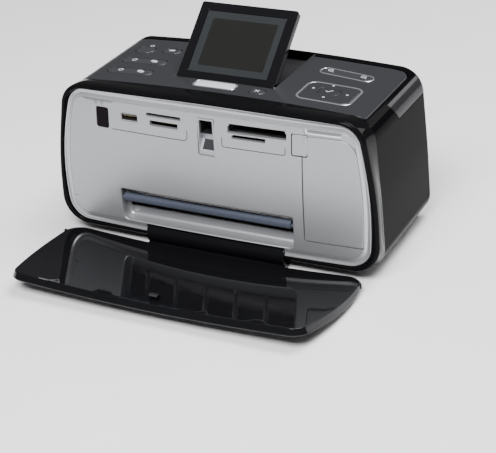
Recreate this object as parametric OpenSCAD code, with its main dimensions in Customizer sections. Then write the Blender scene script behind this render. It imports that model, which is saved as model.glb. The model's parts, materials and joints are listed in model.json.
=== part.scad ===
// Compact photo printer: a loaf-shaped case with a crowned silver face behind a
// fold-down output tray, a tilting screen in the control deck and a rear paper tray.
// X is to the right, Y is to the back, Z is up. The feet stand on Z = 0, and the
// origin is under the middle of the case.

/* [Case] */
// Half width of the case section at its bottom corner
case_half_w = 120.8; // [110:0.1:130]
// Half width of the case section at its top corner
case_top_half_w = 113.6; // [104:0.1:122]
// Height of the case's flat underside
case_z0 = 5; // [4:0.5:8]
// Height of the crest of the deck
crest_z = 116.9; // [110:0.1:122]
// Radius of the crown across the deck
deck_r = 1760; // [900:10:4000]
// Rear plane of the case
case_y1 = 58; // [50:0.5:65]
// Plane between the front frame and the case
frame_y1 = -38; // [-42:0.5:-34]
// Wall thickness of the shells
wall = 2.5; // [2:0.1:3]
// Radius of the case's rear edge
rear_r = 8; // [4:0.5:12]
// Height of the seam between shell and base
seam_z = 19; // [15:0.5:24]

/* [Face] */
// Foremost point of the silver face
face_y = -57.9; // [-62:0.1:-54]
// Setback of the face 100 mm to either side
crown_x = 3; // [1:0.1:5]
// Setback of the face 50 mm above and below its middle
crown_z = 2.4; // [1:0.1:4]
// Height of the middle of the face
face_mid_z = 50; // [45:1:60]
// Bottom edge of the silver face
face_z0 = 11.5; // [11:0.5:13]

/* [Screen] */
// Middle of the screen across the case
screen_x = -3.5; // [-6:0.5:2]
// Width of the screen housing
screen_w = 73.8; // [68:0.1:76]
// Length of the screen housing past its hinge axis
screen_l = 59.3; // [54:0.1:60]
// Thickness of the screen housing
screen_t = 6; // [5.8:0.1:6.2]
// Tilt of the screen above the deck
screen_tilt = 40; // [20:1:60]
// Hinge axis of the screen
screen_axis_y = -15.6; // [-18:0.1:-14]
// Height of the hinge axis of the screen
screen_axis_z = 114.9; // [114:0.1:116]

/* [Output tray] */
// Angle from shut to open
tray_open = 84.7; // [75:0.1:86]
// Hinge axis of the tray
tray_axis_y = -50.4; // [-52:0.1:-49]
// Height of the hinge axis of the tray
tray_axis_z = 9.7; // [9.5:0.1:11]
// Left end of the tray's neck
neck_x0 = -52; // [-60:0.5:-45]
// Right end of the tray's neck
neck_x1 = 54; // [45:0.5:60]

/* [Hidden] */

// Circuit boards
board_t = 1.6;
reader_z = 90.2;
keys_z = 104.7;
keys_t = 1.2;
main_z = 66;
board_post_x = [-66, 5];
board_post_y = -20;

// Fit gap between fixed pieces, and running clearance on a radius
gap = 0.3;
run = 0.06;
// Points on each rounded corner, and on the straight edges of crowned parts
corner_n = 6;
crown_n = 5;
// Facets of small round parts
round_fn = 48;

// Colours of the mouldings
black = [0.06, 0.06, 0.07];
deck_grey = [0.25, 0.26, 0.28];
silver = [0.72, 0.73, 0.75];
steel = [0.6, 0.61, 0.63];
nylon = [0.85, 0.84, 0.8];
board_green = [0.1, 0.3, 0.16];
key_white = [0.9, 0.91, 0.93];

// ---- Outlines -------------------------------------------------------------

function unit(v) = v / norm(v);
function cross2(a, b) = a[0] * b[1] - a[1] * b[0];

// Points of the arc that rounds the corner b between a and c
function corner_arc(a, b, c, r) =
    let (u = unit(a - b), v = unit(c - b),
         half = acos(min(1, max(-1, u * v))) / 2,
         reach = r / tan(half),
         mid = b + unit(u + v) * (r / sin(half)),
         p = b + u * reach, q = b + v * reach,
         a0 = atan2(p[1] - mid[1], p[0] - mid[0]),
         a1 = atan2(q[1] - mid[1], q[0] - mid[0]),
         turn = a1 - a0 > 180 ? a1 - a0 - 360 : (a1 - a0 < -180 ? a1 - a0 + 360 : a1 - a0))
    [for (i = [0:corner_n]) mid + r * [cos(a0 + turn * i / corner_n), sin(a0 + turn * i / corner_n)]];

// Corners moved inwards by d, for a counter-clockwise outline
function inset_corners(p, d) =
    let (n = len(p))
    [for (i = [0:n - 1])
        let (a = p[(i + n - 1) % n], b = p[i], c = p[(i + 1) % n],
             u = unit(b - a), v = unit(c - b),
             nu = [-u[1], u[0]], nv = [-v[1], v[0]],
             turn = cross2(u, v))
        b + d * (nu + nv) / (1 + nu * nv)];

// Points that divide the straight stretch from a to b into m + 1 lengths
function stretch(a, b, m) = [for (k = [1:1:m]) a + (b - a) * k / (m + 1)];

// Rounded outline of corners p with radii r, moved inwards by d, with m points
// on each straight stretch
function outline(p, r, d = 0, m = 0) =
    let (q = inset_corners(p, d), n = len(p),
         arcs = [for (i = [0:n - 1])
             corner_arc(q[(i + n - 1) % n], q[i], q[(i + 1) % n], max(0.6, r[i] - d))])
    [for (i = [0:n - 1]) each concat(arcs[i], stretch(arcs[i][corner_n], arcs[(i + 1) % n][0], m))];

// Case section: bottom corners, bulging sides, top corners and crowned top
deck_slope = 0.0455;
crest_vertex_z = crest_z + deck_r * deck_slope * deck_slope / 2;
top_corner_z = crest_vertex_z - deck_slope * case_top_half_w;
case_corners = [
    [-case_half_w, case_z0], [case_half_w, case_z0], [118.2, 56], [case_top_half_w, top_corner_z],
    [0, crest_vertex_z], [-case_top_half_w, top_corner_z], [-118.2, 56]
];
case_radii = [14, 14, 700, 18, deck_r, 18, 700];
function case_outline(d = 0, m = 0) = outline(case_corners, case_radii, d, m);

// Front edge of the frame, a little wider than the case
frame_corners = [
    [-122.4, 7.6], [122.4, 7.6], [121.4, 58], [111.6, 116.4], [0, 118], [-111.6, 116.4], [-121.4, 58]
];
frame_radii = [20, 20, 300, 19, 1600, 19, 300];
function frame_outline(d = 0) = outline(frame_corners, frame_radii, d, crown_n);

// Edge of the silver face
face_corners = [
    [-115.1, face_z0], [115.1, face_z0], [118.6, 61], [106.8, 112.6], [0, 114.9], [-106.8, 112.6],
    [-118.6, 61]
];
face_radii = [16, 16, 235, 15, 1500, 15, 235];
function face_outline(d = 0) = outline(face_corners, face_radii, d, crown_n);

// Inner edge of the bevel, where the flat of the face starts
plate_corners = [
    [-110.6, 17.2], [110.6, 17.2], [113.4, 61], [104.7, 107], [0, 108.2], [-104.7, 107], [-113.4, 61]
];
plate_radii = [11, 11, 235, 10, 1500, 10, 235];
function plate_outline(d = 0, m = 0) = outline(plate_corners, plate_radii, d, m);

// Edge of the output tray when it is shut over the face
tray_z0 = 16;
tray_z1 = 107;
tray_corners = [
    [-112.6, tray_z0], [112.6, tray_z0], [116.2, 61], [105.6, tray_z1], [0, tray_z1 + 0.5],
    [-105.6, tray_z1], [-116.2, 61]
];
tray_radii = [13, 13, 235, 10, 1500, 10, 235];
function tray_outline(d = 0) = outline(tray_corners, tray_radii, d, crown_n);

// Setback of the crowned face behind its foremost point
function crown(p) = crown_x * pow(p[0] / 100, 2) + crown_z * pow((p[1] - face_mid_z) / 50, 2);
// Height of the deck's surface
function deck_z(x) = crest_z - x * x / (2 * deck_r);

// ---- Skins made of rings of points ----------------------------------------

function flat_list(rings) = [for (r = rings) each r];

// Closed skin through rings listed from back to front, its two ends closed by fans
module skin(rings, apex0, apex1) {
    n = len(rings[0]);
    m = len(rings);
    points = concat(flat_list(rings), [apex0, apex1]);
    sides = [for (j = [0:m - 2]) for (i = [0:n - 1])
        let (a = j * n + i, b = j * n + (i + 1) % n, c = b + n, d = a + n)
        each [[a, c, b], [a, d, c]]];
    first = [for (i = [0:n - 1]) [i, (i + 1) % n, m * n]];
    last = [for (i = [0:n - 1]) [(m - 1) * n + (i + 1) % n, (m - 1) * n + i, m * n + 1]];
    polyhedron(points, concat(sides, first, last));
}

// Closed ring-shaped skin whose section is the list of rings
module ring_skin(rings) {
    n = len(rings[0]);
    m = len(rings);
    faces = [for (j = [0:m - 1]) for (i = [0:n - 1])
        let (a = j * n + i, b = j * n + (i + 1) % n,
             c = ((j + 1) % m) * n + (i + 1) % n, d = ((j + 1) % m) * n + i)
        each [[a, c, b], [a, d, c]]];
    polyhedron(flat_list(rings), faces);
}

function at_y(p, y) = [for (q = p) [q[0], y, q[1]]];
function shrink(p, s, c) = [for (q = p) c + s * (q - c)];

// Point that crowned plates shrink towards
face_centre = [0, 62];

// Case section from y0 to y1, with its rear edge rounded by r
module loaf(d, y0, y1, r) {
    ends = [for (a = [90:-30:0]) [y1 - r + r * sin(a), r * (1 - cos(a))]];
    skin(concat([for (e = ends) at_y(case_outline(d + e[1]), e[0])], [at_y(case_outline(d), y0)]),
        [0, y1, 60], [0, y0, 60]);
}

// ---- Small shapes ---------------------------------------------------------

module box(x0, x1, y0, y1, z0, z1) {
    translate([x0, y0, z0]) cube([x1 - x0, y1 - y0, z1 - z0]);
}

// Upright prism with rounded corners
module pill_2d(l, w, r) {
    polygon(outline([[-l / 2, -w / 2], [l / 2, -w / 2], [l / 2, w / 2], [-l / 2, w / 2]], [r, r, r, r]));
}
module pill(x, y, l, w, r, z0, z1, turn = 0) {
    translate([x, y, z0]) rotate([0, 0, turn]) linear_extrude(z1 - z0) pill_2d(l, w, r);
}
// The same on its side, facing the front
module face_pill(x, z, l, h, r, y0, y1) {
    translate([x, y1, z]) rotate([90, 0, 0]) linear_extrude(y1 - y0) pill_2d(l, h, r);
}
module rod_x(x0, x1, y, z, r) {
    translate([x0, y, z]) rotate([0, 90, 0]) cylinder(r = r, h = x1 - x0, $fn = round_fn);
}
module rod_y(x, y0, y1, z, r) {
    translate([x, y1, z]) rotate([90, 0, 0]) cylinder(r = r, h = y1 - y0, $fn = round_fn);
}
module rod_z(x, y, z0, z1, r) {
    translate([x, y, z0]) cylinder(r = r, h = z1 - z0, $fn = round_fn);
}

// Straight-sided gear of n teeth and module m, turned by phase
tooth_h = 0.8;
function gear_points(n, m, phase) =
    [for (i = [0:n - 1]) each
        let (a = 360 * i / n + phase, p = 360 / n, ro = m * (n / 2 + tooth_h), ri = m * (n / 2 - 1.1))
        [ri * [cos(a - 0.27 * p), sin(a - 0.27 * p)], ro * [cos(a - 0.11 * p), sin(a - 0.11 * p)],
         ro * [cos(a + 0.11 * p), sin(a + 0.11 * p)], ri * [cos(a + 0.27 * p), sin(a + 0.27 * p)]]];
module gear_x(x0, x1, y, z, n, m, phase, bore) {
    translate([x0, y, z]) rotate([90, 0, 90]) difference() {
        linear_extrude(x1 - x0) polygon(gear_points(n, m, phase));
        translate([0, 0, -1]) cylinder(r = bore, h = x1 - x0 + 2, $fn = round_fn);
    }
}

// ---- Case -----------------------------------------------------------------

feet_xy = [[-92, -30], [92, -30], [-92, 44], [92, 44], [0, 0]];
foot_r = 7;
// The neck's cut-out in frame, face and base
neck_top_z = 17.3;
module neck_cut(g) {
    box(neck_x0 - g, neck_x1 + g, -70, frame_y1 - 2, -1, neck_top_z + g);
}
// Screw bosses that tie base and shell together
boss_xy = [[-104, 50.5], [104, 50.5]];

module base_pan() {
    color(black) difference() {
        union() {
            difference() {
                loaf(0, frame_y1 + gap, case_y1, rear_r);
                box(-130, 130, -60, 70, seam_z - gap / 2, 130);
                box(-112.5, 112.5, frame_y1 - 1, case_y1 - 4, case_z0 + wall, 40);
            }
            for (p = boss_xy) rod_z(p[0], p[1], case_z0 + 2, seam_z - gap / 2, 4);
        }
        for (p = boss_xy) rod_z(p[0], p[1], case_z0 - 1, case_z0 + 2, 3.2);
        for (p = boss_xy) rod_z(p[0], p[1], case_z0 - 1, seam_z + 1, 1.6);
        neck_cut(0.6);
    }
}

module rubber_feet() {
    color([0.1, 0.1, 0.1]) for (p = feet_xy) rod_z(p[0], p[1], 0, case_z0, foot_r);
}

// Handle band along the shoulder of the case
handle_z0 = 97;
handle_z1 = 109;
handle_y0 = -4.2;
handle_t = 5;
deck_half_w = 107.3;
deck_y1 = 45;
well_x0 = screen_x - screen_w / 2 - 0.9;
well_x1 = screen_x + screen_w / 2 + 0.9;
well_y0 = screen_axis_y - screen_t / 2 - 0.6;
well_y1 = 48.5;
well_floor_z = 110.4;
// Rear opening behind the input tray
rear_x = 70;
rear_z0 = 27;
rear_z1 = 93;

// Front end of a handle arm, seen from the side
module arm_profile(g) {
    polygon([[70, handle_z0 - g], [70, handle_z1 + g], [handle_y0 - g, handle_z1 + g],
        [handle_y0 - g + 3.4, (handle_z0 + handle_z1) / 2], [handle_y0 - g + 8, handle_z0 - g]]);
}
module handle_band(g) {
    translate([-130, 0, 0]) rotate([90, 0, 90]) linear_extrude(260) arm_profile(g);
}
module deck_plan(g) {
    pill(0, (frame_y1 + deck_y1) / 2, 2 * (deck_half_w + g), deck_y1 - frame_y1 + 2 * g, 5 + g, 100, 130);
}
module well_plan(g, z0, z1) {
    box(well_x0 - g, well_x1 + g, well_y0 - g, well_y1 + g, z0, z1);
}

module main_shell() {
    color(black) difference() {
        loaf(0, frame_y1 + gap, case_y1, rear_r);
        box(-130, 130, -60, 70, -1, seam_z + gap / 2);
        // inner space: wide below the handle band, narrower behind it
        intersection() {
            loaf(wall, frame_y1 - 2, case_y1 - wall, rear_r - wall);
            box(-130, 130, -60, 70, -1, handle_z0 - 2.4);
        }
        box(-102, 102, frame_y1 - 2, 50, handle_z0 - 3, 111);
        difference() {
            handle_band(gap);
            loaf(handle_t + gap, -60, case_y1 - handle_t - gap, 3);
        }
        difference() {
            deck_plan(gap);
            box(-130, 130, -60, 70, 0, 108.6);
        }
        box(-100, 100, frame_y1 - 2, deck_y1 - 3, 108, 130);
        well_plan(1.6, well_floor_z - 1.6, 130);
        box(-rear_x, rear_x, 40, 70, rear_z0, rear_z1);
        rod_x(-rear_x - 2.4, rear_x + 2.4, 56.8, 29.6, 0.96);
        // sockets in the rear wall
        box(84, 96.5, 50, 70, 30, 42);
        rod_y(90, 50, 70, 52, 5);
        for (p = boss_xy) rod_z(p[0], p[1], seam_z - 1, seam_z + 1, 1.6);
    }
    color(black) for (p = boss_xy) difference() {
        union() {
            rod_z(p[0], p[1], seam_z + gap / 2, seam_z + 16, 4);
            box(p[0] - 0.8, p[0] + 0.8, p[1], case_y1 - wall + 0.5, seam_z + 2, seam_z + 14);
        }
        rod_z(p[0], p[1], seam_z, seam_z + 12, 1.25);
    }
}

// Black frame round the face
frame_front_y = -56.2;
frame_crown_x = 1.2;
function frame_ring(p, back) =
    [for (q = p) [q[0], frame_front_y + back + frame_crown_x * pow(q[0] / 100, 2), q[1]]];
module front_frame() {
    color(black) difference() {
        ring_skin([
            at_y(case_outline(0, crown_n), frame_y1),
            at_y(frame_outline(0.2), -48.5),
            at_y(frame_outline(0), -52.3),
            frame_ring(frame_outline(0.9), 1),
            frame_ring(frame_outline(2.4), 0),
            frame_ring(face_outline(-0.5), 1.4),
            at_y(face_outline(-0.4), -45),
            at_y(case_outline(wall + 1.5, crown_n), -43),
            at_y(case_outline(wall, crown_n), frame_y1)
        ]);
        neck_cut(0.4);
        rod_x(neck_x0 - 5.2, neck_x1 + 5.2, tray_axis_y, tray_axis_z, 2);
    }
}

// ---- Face -----------------------------------------------------------------

recess_x0 = -70.5;
recess_x1 = 61.5;
recess_z0 = 18.5;
recess_z1 = 42.3;
slot_z0 = 25.6;
recess_back_y = -47;
liner_y = -55.2;
door_x0 = 69.8;
door_z0 = 26.2;
door_z1 = 101.6;
// Outline of the cartridge door
door_corners = [[door_x0, door_z0], [110.8, door_z0], [113, 61], [105.3, door_z1], [door_x0, door_z1]];
door_radii = [1.2, 1.4, 235, 12, 1.2];
function door_outline(d, m = 0) = outline(door_corners, door_radii, d, m);
door_back_y = -50.6;
door_mid = [89, 62];
module door_block() {
    p = door_outline(0, 3);
    rings = concat([at_y(p, door_back_y), [for (q = p) [q[0], face_y + 0.4 + crown(q), q[1]]]],
        [for (k = [[0.99, 0.06], [0.66, 0], [0.33, 0]])
            [for (q = shrink(p, k[0], door_mid)) [q[0], face_y + k[1] + crown(q), q[1]]]]);
    skin(rings, [door_mid[0], door_back_y, door_mid[1]],
        [door_mid[0], face_y + crown(door_mid), door_mid[1]]);
}

// Crowned plate of thickness t whose front lies `back` behind the face
function crowned_ring(p, k, mid, back) =
    [for (q = shrink(p, k, mid)) [q[0], face_y + back + crown(q), q[1]]];
module crowned_plate(p, mid, back, t) {
    rings = concat([for (k = [0.5, 1]) crowned_ring(p, k, mid, back + t)],
        [for (k = [1, 0.66, 0.33]) crowned_ring(p, k, mid, back)]);
    y = face_y + back + crown(mid);
    skin(rings, [mid[0], y + t, mid[1]], [mid[0], y, mid[1]]);
}
// Extrudes a face drawing (x, z) through the face
module through_face() {
    translate([0, recess_back_y, 0]) rotate([90, 0, 0]) linear_extrude(30) children();
}

// The bevel is hollow: it falls back from a rim that is level with the face
function bevel_ring(p, back) = [for (q = p) [q[0], face_y + back + crown(q), q[1]]];
module face_bevel() {
    color([0.9, 0.9, 0.92]) difference() {
        ring_skin([
            [for (q = plate_outline(0.1, crown_n)) [q[0], -49, q[1]]],
            at_y(face_outline(0), -49 + 2),
            bevel_ring(face_outline(0), -0.1),
            bevel_ring(face_outline(0.5), -0.3),
            bevel_ring(face_outline(2), 0.2),
            bevel_ring(plate_outline(-1.5, crown_n), 0.7),
            bevel_ring(plate_outline(0.1, crown_n), 0.8)
        ]);
        neck_cut(0.3);
    }
}

// Openings in the face, as [x, z, width, height, corner radius]
face_holes = [
    [-81.1, 94.2, 10, 14.7, 1.6], [-59.2, 97.3, 13.4, 5.7, 0.7], [-32.3, 101.6, 26.6, 2.3, 0.7],
    [-32.2, 95.8, 21.7, 3.7, 0.7], [0, 91.6, 12.4, 26.4, 0.7], [37.4, 100.4, 42, 6.2, 0.9],
    [31.4, 94.8, 24.2, 2.9, 0.7], [67.7, 95, 11.6, 15.6, 1.2]
];
module recess_2d() {
    translate([(recess_x0 + recess_x1) / 2, (recess_z0 + recess_z1) / 2])
        pill_2d(recess_x1 - recess_x0, recess_z1 - recess_z0, 3);
}

module front_panel() {
    color(silver) difference() {
        union() {
            crowned_plate(plate_outline(0.2, crown_n), face_centre, 0, 3);
            box(recess_x0 - 1.5, recess_x1 + 1.5, liner_y, recess_back_y + 1.5,
                neck_top_z + 0.2, recess_z1 + 1.5);
        }
        through_face() {
            for (h = face_holes) translate([h[0], h[1]]) pill_2d(h[2], h[3], h[4]);
            polygon(door_outline(-0.35));
            translate([105, door_z0 - 0.35]) square([20, 62]);
            recess_2d();
            translate([neck_x0 - 0.3, 0]) square([neck_x1 - neck_x0 + 0.6, neck_top_z + 0.3]);
        }
        box(recess_x0 + 2, recess_x1 - 2, -60, -40, slot_z0, recess_z1 - 1);
        along_door(67.2, 120, door_rod_r);
    }
}

// Finger notch beside the door's pull
module latch_notch(g) {
    face_pill(67.7, 95, 11 + 2 * g, 15 + 2 * g, 1.2, -70, -52.8);
}

module ir_window() {
    color([0.08, 0.05, 0.06])
        crowned_plate(outline([[-86, 87], [-76.2, 87], [-76.2, 101.4], [-86, 101.4]], [1.6, 1.6, 1.6, 1.6]),
            [-81.1, 94.2], 0.5, 2);
}

module usb_host_port() {
    color(steel) difference() {
        face_pill(-59.2, 97.3, 13.2, 5.5, 0.6, -54.4, -37);
        face_pill(-59.2, 97.3, 12.4, 4.7, 0.4, -70, -38);
    }
    color(nylon) {
        box(-64.8, -53.6, -53.8, -38, 98.2, 99.2);
        box(-65.4, -53, -50, -38, reader_z + board_t, 94.7);
    }
}

module card_slots_left() {
    color([0.12, 0.12, 0.13]) difference() {
        box(-48, -17, -50.7, -24, 91.8, 103.9);
        box(-45.3, -19.3, -54, -27, 100.7, 102.5);
        box(-42.8, -21.6, -54, -27, 94.2, 97.4);
    }
    color([0.75, 0.6, 0.25]) for (i = [0:9]) box(-40 + 1.7 * i, -39.2 + 1.7 * i, -50, -30, 94.1, 94.6);
}

module card_slots_right() {
    color([0.12, 0.12, 0.13]) difference() {
        box(14, 60, -50.7, -18, 91.8, 104.4);
        box(16.8, 58, -54, -20, 97.6, 103.2);
        box(19.6, 43.2, -54, -24, 93.6, 96);
    }
}

module tray_latch_pocket() {
    color(silver) difference() {
        face_pill(0, 91.6, 12.2, 26.2, 0.6, -55.6, -42);
        box(-5, 5, -70, -43.4, 93, 103.6);
        // sloping ramp below the pocket
        translate([-5, 0, 0]) rotate([90, 0, 90]) linear_extrude(10)
            polygon([[-70, 78], [-57.4, 78], [-50.5, 88], [-50.5, 93.1], [-70, 93.1]]);
    }
}

module exit_bar() {
    color([0.24, 0.27, 0.36]) {
        translate([recess_x0 + 2, 0, 0]) rotate([90, 0, 90]) linear_extrude(recess_x1 - recess_x0 - 4)
            polygon(outline([[-56.2, 31], [-51.6, 30.4], [-51.6, 38.4], [-56.2, 38.4]], [1.6, 0.8, 0.8, 2]));
        rod_x(recess_x0, recess_x1, -53.6, 34.6, 1.2);
    }
}

// ---- Output tray ----------------------------------------------------------

tray_gap = 0.8;
tray_thin = 2.9;
tray_thick = 5.4;
barrel_r = 7.6;
function tray_depth(z) = tray_thin + (tray_thick - tray_thin) * max(0, min(1, (z - tray_z0) / 40));
function tray_front(q, d) = [q[0], face_y - tray_gap - d + crown(q), q[1]];

// Tray plate as it lies when shut
module tray_plate() {
    p = tray_outline(0);
    inner = [for (s = [0.3, 0.62, 0.86, 0.985]) [for (q = shrink(p, s, face_centre)) tray_front(q, 0)]];
    edge = [
        [for (q = p) tray_front(q, 0.5)],
        [for (q = tray_outline(-1.5)) tray_front([q[0], max(q[1], tray_z0)], tray_depth(q[1]) - 0.6)],
        [for (q = tray_outline(-1.3)) tray_front([q[0], max(q[1], tray_z0)], tray_depth(q[1]))]
    ];
    outer = [for (s = [0.97, 0.6, 0.3])
        [for (q = shrink(p, s, face_centre)) tray_front(q, tray_depth(q[1]))]];
    skin(concat(inner, edge, outer),
        [face_centre[0], face_y - tray_gap + crown(face_centre), face_centre[1]],
        [face_centre[0], face_y - tray_gap - tray_thick + crown(face_centre), face_centre[1]]);
}

// Turn from shut to open about the tray's hinge axis
module opened() {
    translate([0, tray_axis_y, tray_axis_z]) rotate([tray_open, 0, 0])
        translate([0, -tray_axis_y, -tray_axis_z]) children();
}

module output_tray() {
    color(black) difference() {
        union() {
            opened() tray_plate();
            rod_x(neck_x0, neck_x1, tray_axis_y, tray_axis_z, barrel_r);
            opened() translate([neck_x0, 0, 0]) rotate([90, 0, 90]) linear_extrude(neck_x1 - neck_x0)
                polygon([[-59.6, 6], [-54, 9.7], [-56.5, 13.4], [-58, 16.4], [-58, 18], [-60, 18]]);
        }
        rod_x(neck_x0 - 1, neck_x1 + 1, tray_axis_y, tray_axis_z, 2);
    }
}

module tray_hinge_rod() {
    color(steel) rod_x(neck_x0 - 5, neck_x1 + 5, tray_axis_y, tray_axis_z, 2 - run);
}

// Hook on the tray's free edge
module tray_hook() {
    color(black) opened() translate([-3.2, 0, 0]) rotate([90, 0, 90]) linear_extrude(6.4)
        polygon([[-56.3, 98], [-51.5, 98], [-51.5, 101.5], [-53.4, 101.5], [-53.4, 100], [-56.1, 100]]);
}

// ---- Cartridge door -------------------------------------------------------

// The door's hinge runs along the face's own slant, 1.75 mm inside its lower edge
door_hinge_r = 1.75;
door_axis_x = 90;
door_axis_z = door_z0 + door_hinge_r;
door_axis_y = face_y + crown([door_axis_x, door_axis_z]) + door_hinge_r;
door_slant = 3.1;
door_rod_r = 0.9;
module along_door(x0, x1, r) {
    translate([door_axis_x, door_axis_y, door_axis_z]) rotate([0, 0, door_slant])
        rod_x(x0 - door_axis_x, x1 - door_axis_x, 0, 0, r);
}
module cartridge_door() {
    color(silver) difference() {
        union() {
            difference() {
                door_block();
                box(door_x0 + 4.6, 98, -52, -50, 33, 90);
                latch_notch(0.3);
                // lower edge, rounded about the hinge
                difference() {
                    translate([door_axis_x, door_axis_y, door_axis_z]) rotate([0, 0, door_slant])
                        translate([-30, -6, -4]) cube([60, 6, 4]);
                    along_door(60, 120, door_hinge_r);
                }
            }
            // pull of the door, in the notch
            face_pill(67.7, 95, 10.4, 14.4, 1, -53.9, -51.4);
        }
        along_door(60, 120, door_rod_r);
    }
}
module door_hinge_rod() {
    color(steel) along_door(67.4, 110.4, door_rod_r - run);
}

// ---- Handle and input tray ------------------------------------------------

module carry_handle() {
    color(black) difference() {
        loaf(0, -20, case_y1, rear_r);
        loaf(handle_t, -30, case_y1 - handle_t, 3);
        box(-130, 130, -30, 70, 0, handle_z0);
        box(-130, 130, -30, 70, handle_z1, 130);
        translate([-130, 0, 0]) rotate([90, 0, 90]) linear_extrude(260)
            polygon([[-30, handle_z0 - 5], [handle_y0 + 8 * 1.4, handle_z0 - 5],
                [handle_y0 + 8, handle_z0], [handle_y0 + 3.4, (handle_z0 + handle_z1) / 2],
                [handle_y0, handle_z1], [handle_y0, 130], [-30, 130]]);
    }
}

input_axis_y = 56.8;
input_axis_z = 29.6;
module input_tray() {
    color(black) difference() {
        union() {
            box(-rear_x + 0.5, rear_x - 0.5, case_y1 - 3, case_y1 - 0.2, input_axis_z - 1.4, rear_z1 - 0.5);
            for (x = [-rear_x - 2, rear_x - 1]) rod_x(x, x + 3, input_axis_y, input_axis_z, 0.96 - run);
            box(-66.5, -64.5, 50.5, case_y1 - 2, 36, rear_z1 - 4);
        }
        box(-20, 20, case_y1 - 1.2, case_y1 + 1, rear_z1 - 9, rear_z1);
        box(-40, 60, case_y1 - 5, case_y1 - 2.2, 46, 50);
    }
}

module width_guide() {
    color(nylon) {
        box(56, 58.4, 48.5, case_y1 - 3.2, 42, 84);
        box(50, 58.4, case_y1 - 4, case_y1 - 3.2, 44, 52);
        box(52, 57, case_y1 - 4, case_y1 - 2.4, 46.3, 49.7);
    }
}

// ---- Control deck and screen ----------------------------------------------

key_gap = 0.35;
// Lip of a key's flange beyond its cap
key_lip = 0.7;
// Keys: x, y, length, width, corner radius, turn
key_print = [-6.5, -25.8, 29.4, 8.8, 2.6, 0];
key_cancel = [25.8, -27.4, 10.6, 7, 2.6, 0];
key_power = [-87.4, 22.6, 14.6, 10.6, 5.2, 8];
key_preview = [-66.4, 24.2, 13.6, 8.6, 3.4, 4];
key_upper = [-76.4, 1.5, 34.4, 8.8, 3.6, 0];
key_lower = [-76.9, -18.4, 34.8, 8.8, 3.6, 0];
key_zoom = [70, 22.4, 37.4, 8.4, 3.6, -5];
key_pad = [71.4, -11.6, 36.4, 27, 5, 0];
key_ok = [70.8, -10.6, 14.6, 9, 2.4, 0];
plain_keys = [key_print, key_cancel, key_power, key_preview, key_upper, key_lower, key_zoom, key_pad];
key_proud = 0.6;

module key_cut(k, g) {
    pill(k[0], k[1], k[2] + 2 * g, k[3] + 2 * g, k[4] + g, 104, 125, k[5]);
}

// A key: its cap with a crowned top, a flange under the deck and a stem
module key(k, z_flange = 111) {
    top = deck_z(k[0]) + key_proud;
    difference() {
        union() {
            pill(k[0], k[1], k[2], k[3], k[4], z_flange, top, k[5]);
            pill(k[0], k[1], k[2] + 2 * key_lip, k[3] + 2 * key_lip, k[4] + key_lip,
                z_flange - 1.6, z_flange, k[5]);
        }
        // the cap is a shell
        pill(k[0], k[1], k[2] - 3, k[3] - 3, max(0.6, k[4] - 1.5), z_flange - 2, top - 1.6, k[5]);
    }
}

// A rocker turns on two pins that stick out of its long sides
pivot_z = 110.1;
pivot_r = 0.7;
pivot_l = 2.2;
module on_key(k) {
    translate([k[0], k[1], 0]) rotate([0, 0, k[5]]) children();
}
module rocker(k) {
    key(k);
    half = k[3] / 2 + key_lip - 0.4;
    on_key(k) for (y = [-half - pivot_l, half]) rod_y(0, y, y + pivot_l, pivot_z, pivot_r);
}
// Lugs under the deck that carry a rocker's pins
module rocker_lugs(k) {
    y0 = k[3] / 2 + key_lip + 0.3;
    on_key(k) difference() {
        for (y = [-y0 - 1.2, y0]) box(-1.8, 1.8, y, y + 1.2, pivot_z - 1.6, 113.6);
        rod_y(0, -30, 30, pivot_z, pivot_r + run);
    }
}

module control_deck() {
    color(deck_grey) for (k = [key_upper, key_lower, key_zoom]) rocker_lugs(k);
    color(deck_grey) difference() {
        intersection() {
            loaf(0, frame_y1 + gap, case_y1, rear_r);
            deck_plan(0);
        }
        box(-130, 130, -60, 70, 90, handle_z1 + gap);
        loaf(wall, -60, 80, 3);
        well_plan(1.4, 100, 130);
        for (k = plain_keys) key_cut(k, key_gap);
    }
}

module screen_well() {
    color(black) difference() {
        well_plan(1.3, well_floor_z - 1.4, deck_z(40) - 0.4);
        well_plan(0, well_floor_z, 130);
        box(well_x0 - 3, well_x1 + 3, 52, 60, 100, 130);
        rod_x(well_x0 - 2, well_x1 + 2, screen_axis_y, screen_axis_z, 1.3);
    }
}

// Screen frame: local v runs up the screen from the hinge, w out of its face
module on_screen() {
    translate([screen_x, screen_axis_y, screen_axis_z]) rotate([screen_tilt, 0, 0]) children();
}
window_w = 60;
window_h = 48;
lcd_w = 49.6;
lcd_h = 37.2;
lcd_v0 = 9.6;
window_v0 = 4.4;
module screen_slab(w0, w1, side) {
    translate([0, 0, w0]) linear_extrude(w1 - w0) polygon(outline(
        [[-screen_w / 2 + side, 0], [screen_w / 2 - side, 0],
         [screen_w / 2 - side, screen_l - side], [-screen_w / 2 + side, screen_l - side]],
        [0.8, 0.8, 1.6, 1.6]));
}
module screen_window(w0, w1, g) {
    translate([-window_w / 2 - g, window_v0 - g, w0]) cube([window_w + 2 * g, window_h + 2 * g, w1 - w0]);
}

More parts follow.
